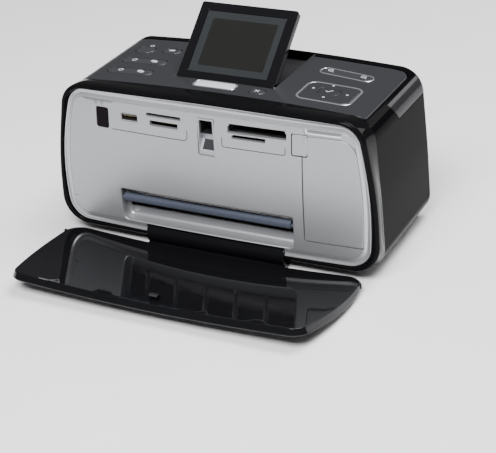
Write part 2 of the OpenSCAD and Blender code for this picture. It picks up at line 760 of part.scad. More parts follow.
module screen_back() {
    color(black) on_screen() difference() {
        union() {
            screen_slab(-screen_t / 2, 1, 0);
            rod_x(-screen_w / 2, screen_w / 2, 0, 0, screen_t / 2);
        }
        translate([-screen_w / 2 + 1.6, 4, -screen_t / 2 + 1.4]) cube([screen_w - 3.2, screen_l - 5.6, 6]);
        rod_x(-50, 50, 0, 0, 1.3);
        translate([-40, -4, 1]) cube([80, 8, 4]);
    }
}
module screen_bezel() {
    color(black) on_screen() difference() {
        intersection() {
            screen_slab(1, screen_t / 2, 0);
            union() {
                translate([-50, 1.2, 0]) cube([100, 80, 10]);
                rod_x(-50, 50, 0, 0, screen_t / 2);
            }
        }
        screen_window(0, 5, 0.2);
        rod_x(-50, 50, 0, 0, 1.3);
    }
}
module screen_glass() {
    color([0.3, 0.32, 0.34]) on_screen() screen_window(1.7, screen_t / 2 - 0.3, 0);
}
module lcd_panel() {
    color([0.35, 0.37, 0.36]) on_screen()
        translate([-lcd_w / 2 + 0.5, lcd_v0, -0.8]) cube([lcd_w, lcd_h, 2.4]);
}
module screen_pins() {
    color(steel) for (s = [-1, 1]) {
        a = screen_x + s * (screen_w / 2 - 6);
        b = screen_x + s * (screen_w / 2 + 2);
        rod_x(min(a, b), max(a, b), screen_axis_y, screen_axis_z, 1.3 - run);
    }
}

module print_button() { color(key_white) key(key_print); }
module cancel_button() { color(deck_grey) key(key_cancel); }
module power_button() { color(deck_grey) key(key_power); }
module preview_button() { color(deck_grey) key(key_preview); }
module upper_rocker() { color(deck_grey) rocker(key_upper); }
module lower_rocker() { color(deck_grey) rocker(key_lower); }
module zoom_rocker() { color(deck_grey) rocker(key_zoom); }

// Four-way pad on a gimbal: the pivot tilts front to back, the pad side to side
pad_axis_z = 111.3;
pad_pin = 2.6;
module on_pad() {
    translate([key_ok[0], key_ok[1], pad_axis_z]) children();
}
module nav_pad() {
    color(deck_grey) difference() {
        key(key_pad, 110.9);
        key_cut(key_ok, key_gap);
        on_pad() rod_y(0, -30, 30, 0, pivot_r + run);
    }
}
module nav_pivot() {
    color(nylon) on_pad() {
        difference() {
            box(-12, 12, -9.3, 9.3, -1.1, 1.1);
            box(-9.5, 9.5, -7, 7, -2, 2);
        }
        rod_x(-12 - pad_pin, -11, 0, 0, pivot_r);
        rod_x(11, 12 + pad_pin, 0, 0, pivot_r);
        rod_y(0, -14, -8, 0, pivot_r);
        rod_y(0, 8, 12.4, 0, pivot_r);
    }
}
module ok_button() {
    ok_top = deck_z(key_ok[0]) + key_proud + 0.2;
    color(deck_grey) difference() {
        union() {
            pill(key_ok[0], key_ok[1], key_ok[2], key_ok[3], key_ok[4], 107.8, ok_top);
            pill(key_ok[0], key_ok[1], key_ok[2] + 1.6, key_ok[3] + 1.6, key_ok[4] + 0.5, 106.9, 107.8);
        }
        pill(key_ok[0], key_ok[1], key_ok[2] - 3, key_ok[3] - 3, 1, 106, 114);
    }
}

module key_board() {
    color(board_green) difference() {
        box(-98, 98, -34, 38, keys_z, keys_z + keys_t);
        box(well_x0 - 4, well_x1 + 4, well_y0 + 6, 40, 100, 110);
    }
    // posts that carry the gimbal of the four-way pad
    color(nylon) for (s = [-1, 1]) difference() {
        on_pad() box(s < 0 ? -14.4 : 12.6, s < 0 ? -12.6 : 14.4, -2, 2, keys_z + keys_t - pad_axis_z, 1.6);
        on_pad() rod_x(-20, 20, 0, 0, pivot_r + run);
    }
}

// ---- Print engine ---------------------------------------------------------

plate_x0 = -101;
plate_x1 = 110;
plate_t = 1.6;
engine_z0 = case_z0 + wall;
feed_y = 8;
feed_z = 20.5;
feed_r = 5.5;
exit_y = -36;
exit_z = 22;
exit_r = 4;
paper_z = 26;
shaft_r = 2.5;
gear_m = 1;
feed_n = 24;
idler_n = 25;
exit_n = 16;
motor_n = 10;
// Centre of the idler gear, above the line between the gears that it joins
train_l = norm([exit_y - feed_y, exit_z - feed_z]);
train_u = [exit_y - feed_y, exit_z - feed_z] / train_l;
feed_reach = (feed_n + idler_n) / 2 * gear_m;
exit_reach = (exit_n + idler_n) / 2 * gear_m;
train_t = (pow(feed_reach, 2) - pow(exit_reach, 2) + pow(train_l, 2)) / (2 * train_l);
train_h = sqrt(pow(feed_reach, 2) - pow(train_t, 2));
idler_y = feed_y + train_t * train_u[0] + train_h * train_u[1];
idler_z = feed_z + train_t * train_u[1] - train_h * train_u[0];
motor_y = feed_y + (feed_n + motor_n) / 2 * gear_m * sin(30);
motor_z = feed_z + (feed_n + motor_n) / 2 * gear_m * cos(30);
star_z = 31;
star_r = 4.4;
pinch_r = 4;
pinch_z = paper_z + pinch_r + 0.4;
pick_y = 36;
pick_z = 44;
pick_r = 10;
rod_yy = 14;
rod_zz = 52;
rod_r = 3;

module engine_frame() {
    color(steel) difference() {
        union() {
            for (x = [plate_x0, plate_x1]) {
                box(x, x + plate_t, -35, 46, engine_z0, main_z);
                box(x, x + plate_t, -41, -34, engine_z0 + 7, main_z);
            }
            box(plate_x0, plate_x1, 44.4, 46, 57.6, main_z);
            box(plate_x0, plate_x1, -30, 2, engine_z0, engine_z0 + 1.8);
            box(plate_x0 + plate_t - 0.2, idle_x + 8, belt_y - 7, belt_y + 7, 56.6, 58);
            rod_z(idle_x, belt_y, 57, 65.6, 1.5);
        }
        for (s = [[feed_y, feed_z, shaft_r], [exit_y, exit_z, shaft_r], [rod_yy, rod_zz, rod_r],
                  [exit_y, star_z, 1.5], [feed_y, pinch_z, 1.5], [pick_y, pick_z, shaft_r]])
            rod_x(-120, 120, s[0], s[1], s[2]);
        rod_x(-120, -90, idler_y, idler_z, 2);
        rod_x(-120, -90, motor_y, motor_z, 3);
    }
}

module platen() {
    color([0.16, 0.16, 0.17]) {
        box(-76, 66, -29, 1, 20, 22.6);
        for (i = [0:11]) box(-70 + 11.8 * i, -68.4 + 11.8 * i, -28, 0, 22.6, 25.6);
        box(-76, -72, -29, 1, engine_z0 + 1.8, 20);
        box(62, 66, -29, 1, engine_z0 + 1.8, 20);
    }
}

module carriage_rod() {
    color(steel) rod_x(plate_x0 - 1, plate_x1 + plate_t + 1, rod_yy, rod_zz, rod_r);
}

// Print carriage, parked behind the cartridge door
car_x0 = 72;
car_x1 = 106;
module carriage() {
    color([0.13, 0.13, 0.14]) difference() {
        union() {
            box(car_x0, car_x1, -31, 3, 36, 64);
            rod_x(car_x0, car_x1, rod_yy, rod_zz, 6);
            box(car_x0, car_x1, 2, rod_yy, 46, 57.6);
            box(car_x0 + 12, car_x1 - 12, rod_yy, 24, 55.6, 57.6);
        }
        box(car_x0 + 2, car_x1 - 2, -32, 1, 38, 67);
        box(car_x0 + 8, car_x1 - 8, -24, -8, 35, 39);
        rod_x(car_x0 - 1, car_x1 + 1, rod_yy, rod_zz, rod_r + run);
    }
}
module ink_cartridge() {
    color([0.2, 0.2, 0.22]) {
        box(car_x0 + 2.4, car_x1 - 2.4, -30.5, 0.6, 38, 60);
        box(car_x0 + 9, car_x1 - 9, -23, -9, 29.6, 38);
        box(car_x0 + 6, car_x1 - 6, -30.5, -20, 60, 62.6);
    }
}

belt_y = 23;
pulley_r = 6;
idle_x = -92;
drive_x = 100;
module drive_belt() {
    color([0.08, 0.08, 0.08]) difference() {
        belt_solid(pulley_r + 1.1, 59.4, 64);
        belt_solid(pulley_r + 0.3, 58, 65);
    }
}
module belt_solid(r, z0, z1) {
    box(idle_x, drive_x, belt_y - r, belt_y + r, z0, z1);
    rod_z(idle_x, belt_y, z0, z1, r);
    rod_z(drive_x, belt_y, z0, z1, r);
}
module pulley(x) {
    color(nylon) difference() {
        union() {
            rod_z(x, belt_y, 59, 64.3, pulley_r);
            rod_z(x, belt_y, 64.3, 65.3, pulley_r + 1.2);
        }
        rod_z(x, belt_y, 58, 67, 1.5 + run);
    }
}
module idle_pulley() { pulley(idle_x); }
module motor_pulley() { pulley(drive_x); }
module carriage_motor() {
    color(steel) {
        rod_z(drive_x, belt_y, engine_z0, 44, 8.4);
        rod_z(drive_x, belt_y, 44, 65.6, 1.5);
    }
}

module feed_roller() {
    color(steel) rod_x(plate_x0 - 8, plate_x1 + plate_t + 0.4, feed_y, feed_z, shaft_r - run);
    color([0.2, 0.2, 0.2]) difference() {
        rod_x(-74, 64, feed_y, feed_z, feed_r);
        rod_x(-80, 80, feed_y, feed_z, shaft_r - run - 0.4);
    }
}
// Direction from one shaft to the next, and the turn of a gear of n2 teeth that meshes
// there with a gear of n1 teeth turned by phase
function heading(y0, z0, y1, z1) = atan2(z1 - z0, y1 - y0);
function mesh_phase(n1, phase, n2, dir) = dir + 180 - (phase - dir) * n1 / n2 + 180 / n2;
idler_phase = mesh_phase(feed_n, 0, idler_n, heading(feed_y, feed_z, idler_y, idler_z));
exit_phase = mesh_phase(idler_n, idler_phase, exit_n, heading(idler_y, idler_z, exit_y, exit_z));
motor_phase = mesh_phase(feed_n, 0, motor_n, heading(feed_y, feed_z, motor_y, motor_z));

module feed_gear() { color(nylon) gear_x(-108.5, -104, feed_y, feed_z, feed_n, gear_m, 0, shaft_r - run); }

module idler_gear() {
    color(nylon) gear_x(-108.5, -104, idler_y, idler_z, idler_n, gear_m, idler_phase, 1.9);
    color(steel) rod_x(-110, -99, idler_y, idler_z, 1.95);
}
module exit_roller() {
    color(steel) rod_x(plate_x0 - 8, plate_x1 + plate_t + 0.4, exit_y, exit_z, shaft_r - run);
    color([0.2, 0.2, 0.2]) for (i = [0:5]) difference() {
        rod_x(-66 + 23 * i, -56 + 23 * i, exit_y, exit_z, exit_r);
        rod_x(-67 + 23 * i, -55 + 23 * i, exit_y, exit_z, shaft_r - run - 0.4);
    }
    color(nylon) gear_x(-108.5, -104, exit_y, exit_z, exit_n, gear_m, exit_phase, shaft_r - run - 0.2);
}
module star_wheels() {
    color(steel) rod_x(plate_x0 - 1, plate_x1 + plate_t + 1, exit_y, star_z, 1.5 - run);
    star = [for (k = [0:35]) (k % 2 == 0 ? star_r : star_r - 0.9) * [cos(10 * k), sin(10 * k)]];
    color(nylon) for (i = [0:5]) translate([-61.6 + 23 * i, exit_y, star_z]) rotate([90, 0, 90])
        difference() {
            linear_extrude(1.2) polygon(star);
            translate([0, 0, -1]) cylinder(r = 1.2, h = 4, $fn = round_fn);
        }
}

module feed_motor() {
    color(steel) rod_x(plate_x0 + plate_t, -78.6, motor_y, motor_z, 7.8);
}
module motor_gear() {
    color([0.7, 0.6, 0.3]) gear_x(-108.5, -104, motor_y, motor_z, motor_n, gear_m, motor_phase, 1.2);
    color(steel) rod_x(-109, plate_x0 + plate_t - 0.2, motor_y, motor_z, 1.3);
}

module pinch_rollers() {
    color(steel) rod_x(plate_x0 - 1, plate_x1 + plate_t + 1, feed_y, pinch_z, 1.5 - run);
    color([0.3, 0.3, 0.3]) for (i = [0:2]) difference() {
        rod_x(-62 + 46 * i, -44 + 46 * i, feed_y, pinch_z, pinch_r);
        rod_x(-63 + 46 * i, -43 + 46 * i, feed_y, pinch_z, 1.2);
    }
}
module pick_roller() {
    color(steel) rod_x(plate_x0 - 1, plate_x1 + plate_t + 1, pick_y, pick_z, shaft_r - run);
    color([0.2, 0.2, 0.2]) difference() {
        rod_x(-16, 14, pick_y, pick_z, pick_r);
        rod_x(-17, 15, pick_y, pick_z, shaft_r - run - 0.4);
    }
}

module main_board() {
    color(board_green) box(plate_x0, plate_x1 + plate_t, -30, 38, main_z, main_z + board_t);
    color([0.1, 0.1, 0.1]) {
        box(-30, -8, 0, 22, main_z + board_t, main_z + 3.6);
        box(10, 26, 4, 16, main_z + board_t, main_z + 3);
        box(60, 72, -10, 2, main_z + board_t, main_z + 10);
    }
}
module reader_board() {
    color(board_green) difference() {
        box(-72, 62, -50.8, -16, reader_z, reader_z + board_t);
        box(-8, 8, -53, -40.5, reader_z - 1, reader_z + 3);
    }
    color([0.1, 0.1, 0.1]) box(-14, 8, -36, -26, reader_z + board_t, reader_z + 3.4);
    color(steel) for (x = board_post_x) {
        rod_z(x, board_post_y, main_z + board_t, reader_z, 2);
        rod_z(x, board_post_y, reader_z + board_t, keys_z, 2);
    }
}

// USB socket and power jack at the back
module rear_ports() {
    color(steel) difference() {
        box(84.2, 96.3, 42, case_y1 - 0.4, 30.2, 41.8);
        box(85.4, 95.1, 43.5, 70, 31.4, 40.6);
    }
    color([0.1, 0.1, 0.1]) difference() {
        rod_y(90, 42, case_y1 - 0.4, 52, 4.9);
        rod_y(90, 45, 70, 52, 3.2);
    }
    color(steel) rod_y(90, 43, case_y1 - 2, 52, 1);
}

module case_screws() {
    color(steel) for (p = boss_xy) {
        rod_z(p[0], p[1], case_z0 + 0.2, case_z0 + 2, 3);
        rod_z(p[0], p[1], case_z0 + 2, seam_z + 11, 1.2);
    }
}

base_pan();
rubber_feet();
main_shell();
front_frame();
face_bevel();
front_panel();
control_deck();
screen_well();
ir_window();
usb_host_port();
card_slots_left();
card_slots_right();
tray_latch_pocket();
exit_bar();
output_tray();
tray_hinge_rod();
tray_hook();
cartridge_door();
door_hinge_rod();
carry_handle();
input_tray();
width_guide();
screen_back();
screen_bezel();
screen_glass();
lcd_panel();
screen_pins();
print_button();
cancel_button();
power_button();
preview_button();
upper_rocker();
lower_rocker();
zoom_rocker();
nav_pivot();
nav_pad();
ok_button();
key_board();
engine_frame();
platen();
carriage_rod();
carriage();
ink_cartridge();
drive_belt();
idle_pulley();
carriage_motor();
motor_pulley();
feed_roller();
feed_gear();
idler_gear();
exit_roller();
star_wheels();
feed_motor();
motor_gear();
pinch_rollers();
pick_roller();
main_board();
reader_board();
rear_ports();
case_screws();
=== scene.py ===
"""Looks of a compact photo printer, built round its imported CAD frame.

Sizes are in millimetres, in the frame's own axes: X to the printer's right,
Y to its back, Z up, with the feet on Z = 0. Meshes are scaled to metres when
they are made.
"""

from __future__ import annotations

import json
import logging
import math
from collections.abc import Callable, Sequence
from dataclasses import dataclass
from enum import Enum
from functools import cached_property

import bmesh
import bpy
import numpy as np
from mathutils import Matrix, Vector
from mathutils.geometry import delaunay_2d_cdt

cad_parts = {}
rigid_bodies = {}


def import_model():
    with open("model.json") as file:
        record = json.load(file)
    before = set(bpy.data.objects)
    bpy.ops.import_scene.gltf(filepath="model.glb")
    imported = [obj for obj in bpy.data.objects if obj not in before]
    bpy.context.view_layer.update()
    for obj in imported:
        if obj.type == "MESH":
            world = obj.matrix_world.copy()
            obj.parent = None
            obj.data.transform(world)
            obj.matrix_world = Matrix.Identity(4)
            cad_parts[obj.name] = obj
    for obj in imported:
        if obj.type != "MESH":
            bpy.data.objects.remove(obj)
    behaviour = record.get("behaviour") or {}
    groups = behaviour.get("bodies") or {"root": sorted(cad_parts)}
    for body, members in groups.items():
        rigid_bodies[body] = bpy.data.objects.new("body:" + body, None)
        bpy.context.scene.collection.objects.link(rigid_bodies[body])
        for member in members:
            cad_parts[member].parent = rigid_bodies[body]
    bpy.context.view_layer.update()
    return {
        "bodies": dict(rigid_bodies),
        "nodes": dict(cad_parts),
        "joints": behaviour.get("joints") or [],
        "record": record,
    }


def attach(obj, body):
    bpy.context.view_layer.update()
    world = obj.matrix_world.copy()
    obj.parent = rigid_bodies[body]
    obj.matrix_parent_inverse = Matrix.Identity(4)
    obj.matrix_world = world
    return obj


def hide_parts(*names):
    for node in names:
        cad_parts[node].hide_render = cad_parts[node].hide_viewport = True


LOG = logging.getLogger("photo_printer")
MM = 0.001
SMOOTH_ANGLE = math.radians(34)
ARC_POINTS = 12
EDGE_POINTS = 14
# The steps of a rounded edge, from the flat face to the wall.
EDGE_TURNS = tuple(math.radians(a) for a in (90, 60, 30, 0))
# Points closer than this, in metres, are merged.
WELD = 1e-6
# Edges that turn by more than this, in radians, get a bevel.
SHARP = 0.6
# Cutters end at these planes, which are clear of the printer.
ASIDE, AHEAD, BEHIND, ABOVE = 130, -60, 70, 140
FACE_AHEAD, OVER_DECK = -62, 130
# The stretch of a noise that the colours and the roughness follow.
NOISE_SPAN = (0.3, 0.7)

Loop = list[tuple[float, float]]
Point = tuple[float, float, float]
Place = Callable[[float, float, float], Point]
Depth = Callable[[float, float], float]
Path = Sequence[tuple[float, float]]
Piece = bpy.types.Object
Socket = bpy.types.NodeSocket


# ---- Outlines ---------------------------------------------------------------


def unit(v: np.ndarray) -> np.ndarray:
    """Returns v at length 1."""
    return v / np.linalg.norm(v)


def inset_corners(corners: Sequence[Sequence[float]], d: float) -> list[np.ndarray]:
    """Moves the corners of a counter-clockwise outline inwards.

    Args:
        corners: The outline's corners.
        d: The distance, negative for outwards.

    Returns:
        The moved corners.
    """
    pts = [np.array(c, float) for c in corners]
    moved = []
    for i, b in enumerate(pts):
        u = unit(b - pts[i - 1])
        v = unit(pts[(i + 1) % len(pts)] - b)
        nu, nv = np.array([-u[1], u[0]]), np.array([-v[1], v[0]])
        moved.append(b + d * (nu + nv) / (1 + nu @ nv))
    return moved


def rounded(
    corners: Sequence[Sequence[float]],
    radii: Sequence[float],
    inset: float = 0.0,
    arc_points: int = ARC_POINTS,
    edge_points: int = EDGE_POINTS,
) -> Loop:
    """Rounds the corners of a counter-clockwise outline.

    Args:
        corners: The outline's sharp corners.
        radii: The radius at each corner.
        inset: How far the whole outline moves inwards.
        arc_points: Divisions of each corner's arc.
        edge_points: Points on each straight stretch.

    Returns:
        The outline's points, the same number for every inset.
    """
    pts = inset_corners(corners, inset)
    arcs = []
    for i, b in enumerate(pts):
        u, v = unit(pts[i - 1] - b), unit(pts[(i + 1) % len(pts)] - b)
        half = math.acos(max(-1.0, min(1.0, float(u @ v)))) / 2
        r = max(0.3, radii[i] - inset)
        mid = b + unit(u + v) * (r / math.sin(half))
        p, q = b + u * (r / math.tan(half)), b + v * (r / math.tan(half))
        a0 = math.atan2(p[1] - mid[1], p[0] - mid[0])
        a1 = math.atan2(q[1] - mid[1], q[0] - mid[0])
        turn = (a1 - a0 + math.pi) % (2 * math.pi) - math.pi
        steps = [a0 + turn * k / arc_points for k in range(arc_points + 1)]
        arcs.append([mid + r * np.array([math.cos(a), math.sin(a)]) for a in steps])
    loop: Loop = []
    for i, arc in enumerate(arcs):
        start, end = arc[-1], arcs[(i + 1) % len(arcs)][0]
        loop += [tuple(p) for p in arc]
        loop += [
            tuple(start + (end - start) * k / (edge_points + 1))
            for k in range(1, edge_points + 1)
        ]
    return loop


def rectangle(x0: float, y0: float, x1: float, y1: float) -> Loop:
    """Returns the corners of a rectangle, counter-clockwise."""
    return [(x0, y0), (x1, y0), (x1, y1), (x0, y1)]


def pill(
    x: float, y: float, length: float, width: float, r: float, turn: float = 0.0,
    arc_points: int = 8, edge_points: int = 3,
) -> Loop:
    """Returns a rounded rectangle round (x, y), turned by turn degrees.

    Args:
        x: The middle's first coordinate.
        y: Its second coordinate.
        length: The size along the first axis.
        width: The size along the second.
        r: The corners' radius.
        turn: The turn in degrees.
        arc_points: Divisions of each corner's arc.
        edge_points: Points on each straight stretch.

    Returns:
        The outline, counter-clockwise.
    """
    a, b = length / 2, width / 2
    flat = rounded(rectangle(-a, -b, a, b), [r] * 4, 0, arc_points, edge_points)
    c, s = math.cos(math.radians(turn)), math.sin(math.radians(turn))
    return [(x + c * u - s * v, y + s * u + c * v) for u, v in flat]


def circle(x: float, y: float, r: float, n: int = 32) -> Loop:
    """Returns a circle of n points, counter-clockwise.

    Args:
        x: The middle's first coordinate.
        y: Its second coordinate.
        r: The radius.
        n: How many points there are.

    Returns:
        The circle's points.
    """
    return [
        (x + r * math.cos(2 * math.pi * k / n), y + r * math.sin(2 * math.pi * k / n))
        for k in range(n)
    ]


def shifted(loop: Loop, d: float) -> Loop:
    """Moves each point of a fine loop by d towards its inside.

    Args:
        loop: A counter-clockwise loop.
        d: The distance, negative for outwards.

    Returns:
        The moved loop, with the same number of points.
    """
    p = np.array(loop)
    ahead, behind = np.roll(p, -1, 0) - p, p - np.roll(p, 1, 0)
    ahead /= np.maximum(np.linalg.norm(ahead, axis=1, keepdims=True), 1e-9)
    behind /= np.maximum(np.linalg.norm(behind, axis=1, keepdims=True), 1e-9)
    n1 = np.stack([-ahead[:, 1], ahead[:, 0]], 1)
    n2 = np.stack([-behind[:, 1], behind[:, 0]], 1)
    move = (n1 + n2) / np.maximum(1 + (n1 * n2).sum(1, keepdims=True), 0.35)
    return [tuple(q) for q in p + d * move]


def raised(place: Place, lift: float) -> Place:
    """Returns a way to place points that stand higher than another's.

    Args:
        place: Turns (u, v, depth) into a point.
        lift: How much less deep the new points are, negative for deeper.

    Returns:
        The new way.
    """

    def lifted(u: float, v: float, w: float) -> Point:
        """Places a point after lifting it."""
        return place(u, v, w - lift)

    return lifted


def inside(points: np.ndarray, loop: Loop) -> np.ndarray:
    """Says which points lie inside a loop, by counting crossings.

    Args:
        points: The points, one in each row.
        loop: The loop.

    Returns:
        One truth value for each point.
    """
    poly = np.array(loop)
    nxt = np.roll(poly, -1, 0)
    x, y = points[:, 0:1], points[:, 1:2]
    spans = (poly[:, 1] > y) != (nxt[:, 1] > y)
    dy = np.where(nxt[:, 1] == poly[:, 1], 1e-12, nxt[:, 1] - poly[:, 1])
    cross = (nxt[:, 0] - poly[:, 0]) * (y - poly[:, 1]) / dy + poly[:, 0]
    return ((spans & (x < cross)).sum(1) % 2).astype(bool)


# ---- Meshes -----------------------------------------------------------------


def new_object(
    name: str, verts: Sequence[Sequence[float]], faces: Sequence[Sequence[int]]
) -> Piece:
    """Makes a linked mesh object from points in millimetres.

    Args:
        name: The piece's name.
        verts: The points.
        faces: The faces, as lists of point numbers.

    Returns:
        The object, with doubled points merged and its faces outwards.
    """
    mesh = bpy.data.meshes.new(name)
    mesh.from_pydata([Vector(v) * MM for v in verts], [], faces)
    bm = bmesh.new()
    bm.from_mesh(mesh)
    bmesh.ops.remove_doubles(bm, verts=bm.verts, dist=WELD)
    bmesh.ops.dissolve_degenerate(bm, edges=bm.edges, dist=1e-7)
    bmesh.ops.recalc_face_normals(bm, faces=bm.faces)
    bm.to_mesh(mesh)
    bm.free()
    obj = bpy.data.objects.new(name, mesh)
    bpy.context.scene.collection.objects.link(obj)
    return obj


def loft(name: str, rings: Sequence[Sequence[Sequence[float]]], closed: bool = False) -> Piece:
    """Joins rings of equally many points into a skin.

    Args:
        name: The piece's name.
        rings: The rings, in order.
        closed: Whether the last ring joins the first; otherwise both ends get a cap.

    Returns:
        The object.
    """
    n, m = len(rings[0]), len(rings)
    verts = [point for points in rings for point in points]
    faces: list[list[int]] = []
    for j in range(m if closed else m - 1):
        k = (j + 1) % m
        faces += [
            [j * n + i, j * n + (i + 1) % n, k * n + (i + 1) % n, k * n + i] for i in range(n)
        ]
    if not closed:
        faces += [list(range(n)), list(range((m - 1) * n, m * n))]
    return new_object(name, verts, faces)


def plate(
    name: str,
    outer: Loop,
    place: Place,
    thickness: float | Depth,
    holes: Sequence[Loop] = (),
    edge: float = 0.4,
    hole_edge: float | Sequence[float] = 0.3,
    step: float = 4.0,
    flare: Sequence[tuple[float, float, float]] | None = None,
) -> Piece:
    """Makes a plate that follows a surface, with rounded edges and holes.

    Args:
        name: The piece's name.
        outer: The plate's outline, counter-clockwise, in the surface's (u, v).
        place: Turns (u, v, depth behind the surface) into a point.
        thickness: The plate's thickness, or a function of (u, v).
        holes: The outlines of the holes, counter-clockwise.
        edge: The rounding of the outer edge.
        hole_edge: The rounding at the holes, one for all or one for each.
        step: The spacing of the points that follow the surface.
        flare: The outer wall's own profile, as (inset, depth, share of thickness).

    Returns:
        The object.
    """

    def depth(u: float, v: float) -> float:
        """Returns the plate's thickness at (u, v)."""
        return thickness(u, v) if callable(thickness) else float(thickness)

    def wall(radius: float) -> list[tuple[float, float, float]]:
        """Returns a rounded wall's profile from the front cap to the back.

        Args:
            radius: The rounding of the front edge.

        Returns:
            The profile, as (inset, depth, share of thickness).
        """
        front = [
            (radius * (1 - math.cos(a)), radius * (1 - math.sin(a)), 0.0) for a in EDGE_TURNS
        ]
        return front + [(0.0, 0.0, 1.0)]

    widths = [hole_edge] * len(holes) if isinstance(hole_edge, float) else list(hole_edge)
    profiles = [flare or wall(edge)] + [wall(w) for w in widths]
    verts: list[tuple[float, float, float]] = []
    faces: list[list[int]] = []
    fronts: list[Loop] = []
    backs: list[Loop] = []
    for k, (loop, profile) in enumerate(zip([outer, *holes], profiles)):
        sign = 1.0 if k == 0 else -1.0
        n, base = len(loop), len(verts)
        for inset, ahead, share in profile:
            moved = shifted(loop, sign * inset)
            verts += [place(u, v, ahead + share * depth(u, v)) for u, v in moved]
        for j in range(len(profile) - 1):
            a, b = base + j * n, base + (j + 1) * n
            faces += [[a + i, a + (i + 1) % n, b + (i + 1) % n, b + i] for i in range(n)]
        fronts.append(shifted(loop, sign * profile[0][0]))
        backs.append(shifted(loop, sign * profile[-1][0]))
    last = profiles[0][-1]
    for loops, (ahead, share), spacing in (
        (fronts, (profiles[0][0][1], profiles[0][0][2]), step),
        (backs, (last[1], last[2]), max(step, 6.0)),
    ):
        flat, tris = fill(loops, spacing)
        base = len(verts)
        verts += [place(u, v, ahead + share * depth(u, v)) for u, v in flat]
        faces += [[base + i for i in t] for t in tris]
    return new_object(name, verts, faces)


def fill(loops: Sequence[Loop], step: float) -> tuple[list[tuple[float, float]], list[list[int]]]:
    """Fills an outline with triangles on a fine grid, leaving its holes open.

    Args:
        loops: The outer loop, then the holes.
        step: The grid's spacing.

    Returns:
        The points and the triangles.
    """
    points = [p for loop in loops for p in loop]
    edges: list[tuple[int, int]] = []
    base = 0
    for loop in loops:
        n = len(loop)
        edges += [(base + i, base + (i + 1) % n) for i in range(n)]
        base += n
    rim = np.array(points)
    low, high = rim.min(0), rim.max(0)
    xs = np.arange(low[0] + step / 2, high[0], step)
    ys = np.arange(low[1] + step / 2, high[1], step)
    if len(xs) and len(ys):
        grid = np.array([(x, y) for y in ys for x in xs])
        keep = inside(grid, loops[0])
        for hole in loops[1:]:
            keep &= ~inside(grid, hole)
        gap = np.sqrt(((grid[:, None, :] - rim[None, :, :]) ** 2).sum(2)).min(1)
        grid = grid[keep & (gap > 0.45 * step)]
        points = points + [tuple(p) for p in grid]
    out, _, tris, *_ = delaunay_2d_cdt([Vector(p) for p in points], edges, [], 0, 1e-6)
    if not tris:
        return [], []
    flat = np.array([tuple(v) for v in out])
    mids = np.array([flat[list(t)].mean(0) for t in tris])
    good = inside(mids, loops[0])
    for hole in loops[1:]:
        good &= ~inside(mids, hole)
    return [tuple(v) for v in flat], [list(t) for t, g in zip(tris, good) if g]


def block(
    name: str, low: Sequence[float], high: Sequence[float], edge: float = 0.0
) -> Piece:
    """Makes a box between two corners, with its edges rounded by edge.

    Args:
        name: The piece's name.
        low: The lower corner.
        high: The upper corner.
        edge: The rounding, none for 0.

    Returns:
        The object.
    """
    x0, y0, z0 = low
    x1, y1, z1 = high
    verts = [(x, y, z) for z in (z0, z1) for y in (y0, y1) for x in (x0, x1)]
    quads = [[0, 1, 3, 2], [4, 5, 7, 6], [0, 1, 5, 4], [2, 3, 7, 6], [0, 2, 6, 4], [1, 3, 7, 5]]
    obj = new_object(name, verts, quads)
    if edge:
        soften(obj, edge)
    return obj


def soften(obj: Piece, width: float, segments: int = 3) -> None:
    """Bevels an object's sharp edges in its own mesh.

    Args:
        obj: The object.
        width: The bevel's width.
        segments: The faces across it.
    """
    bm = bmesh.new()
    bm.from_mesh(obj.data)
    sharp = [e for e in bm.edges if len(e.link_faces) == 2 and e.calc_face_angle() > SHARP]
    bmesh.ops.bevel(
        bm, geom=sharp, offset=width * MM, segments=segments, profile=0.5, affect="EDGES",
        clamp_overlap=True,
    )
    bm.to_mesh(obj.data)
    bm.free()


class Axis(Enum):
    """The axes that a prism can be drawn along."""

    X = "x"
    Y = "y"
    Z = "z"

    def point(self, u: float, v: float, w: float) -> Point:
        """Places the point (u, v) of an outline at w along the axis."""
        return {Axis.X: (w, u, v), Axis.Y: (u, w, v), Axis.Z: (u, v, w)}[self]


def prism(
    name: str, loop: Loop, axis: Axis, low: float, high: float, edge: float = 0.0
) -> Piece:
    """Extrudes a loop along an axis.

    Args:
        name: The piece's name.
        loop: The outline: (y, z) along X, (x, z) along Y or (x, y) along Z.
        axis: The axis that it is drawn along.
        low: Where the prism starts on the axis.
        high: Where it ends.
        edge: The rounding of its end edges.

    Returns:
        The object.
    """
    turns = EDGE_TURNS if edge else (0.0,)
    ends = [(edge * (1 - math.cos(a)), low + edge * (1 - math.sin(a))) for a in turns]
    ends += [(d, low + high - w) for d, w in reversed(ends)]
    rings = [[axis.point(u, v, w) for u, v in shifted(loop, d)] for d, w in ends]
    return loft(name, rings)


class Cut(Enum):
    """What a cutter does to the piece that it meets."""

    REMOVE = "DIFFERENCE"
    KEEP = "INTERSECT"


def carve(
    obj: Piece, cutters: Sequence[Piece], how: Cut = Cut.REMOVE
) -> Piece:
    """Cuts an object with others, which are then removed.

    Args:
        obj: The object that is changed.
        cutters: The objects that cut it.
        how: Whether the part inside each cutter goes or stays.

    Returns:
        The changed object.
    """
    for cutter in cutters:
        mod = obj.modifiers.new("cut", "BOOLEAN")
        mod.operation, mod.solver, mod.object = how.value, "EXACT", cutter
        graph = bpy.context.evaluated_depsgraph_get()
        mesh = bpy.data.meshes.new_from_object(obj.evaluated_get(graph))
        obj.modifiers.remove(mod)
        old, obj.data = obj.data, mesh
        mesh.name = obj.name
        bpy.data.meshes.remove(old)
        data = cutter.data
        bpy.data.objects.remove(cutter)
        bpy.data.meshes.remove(data)
    return obj


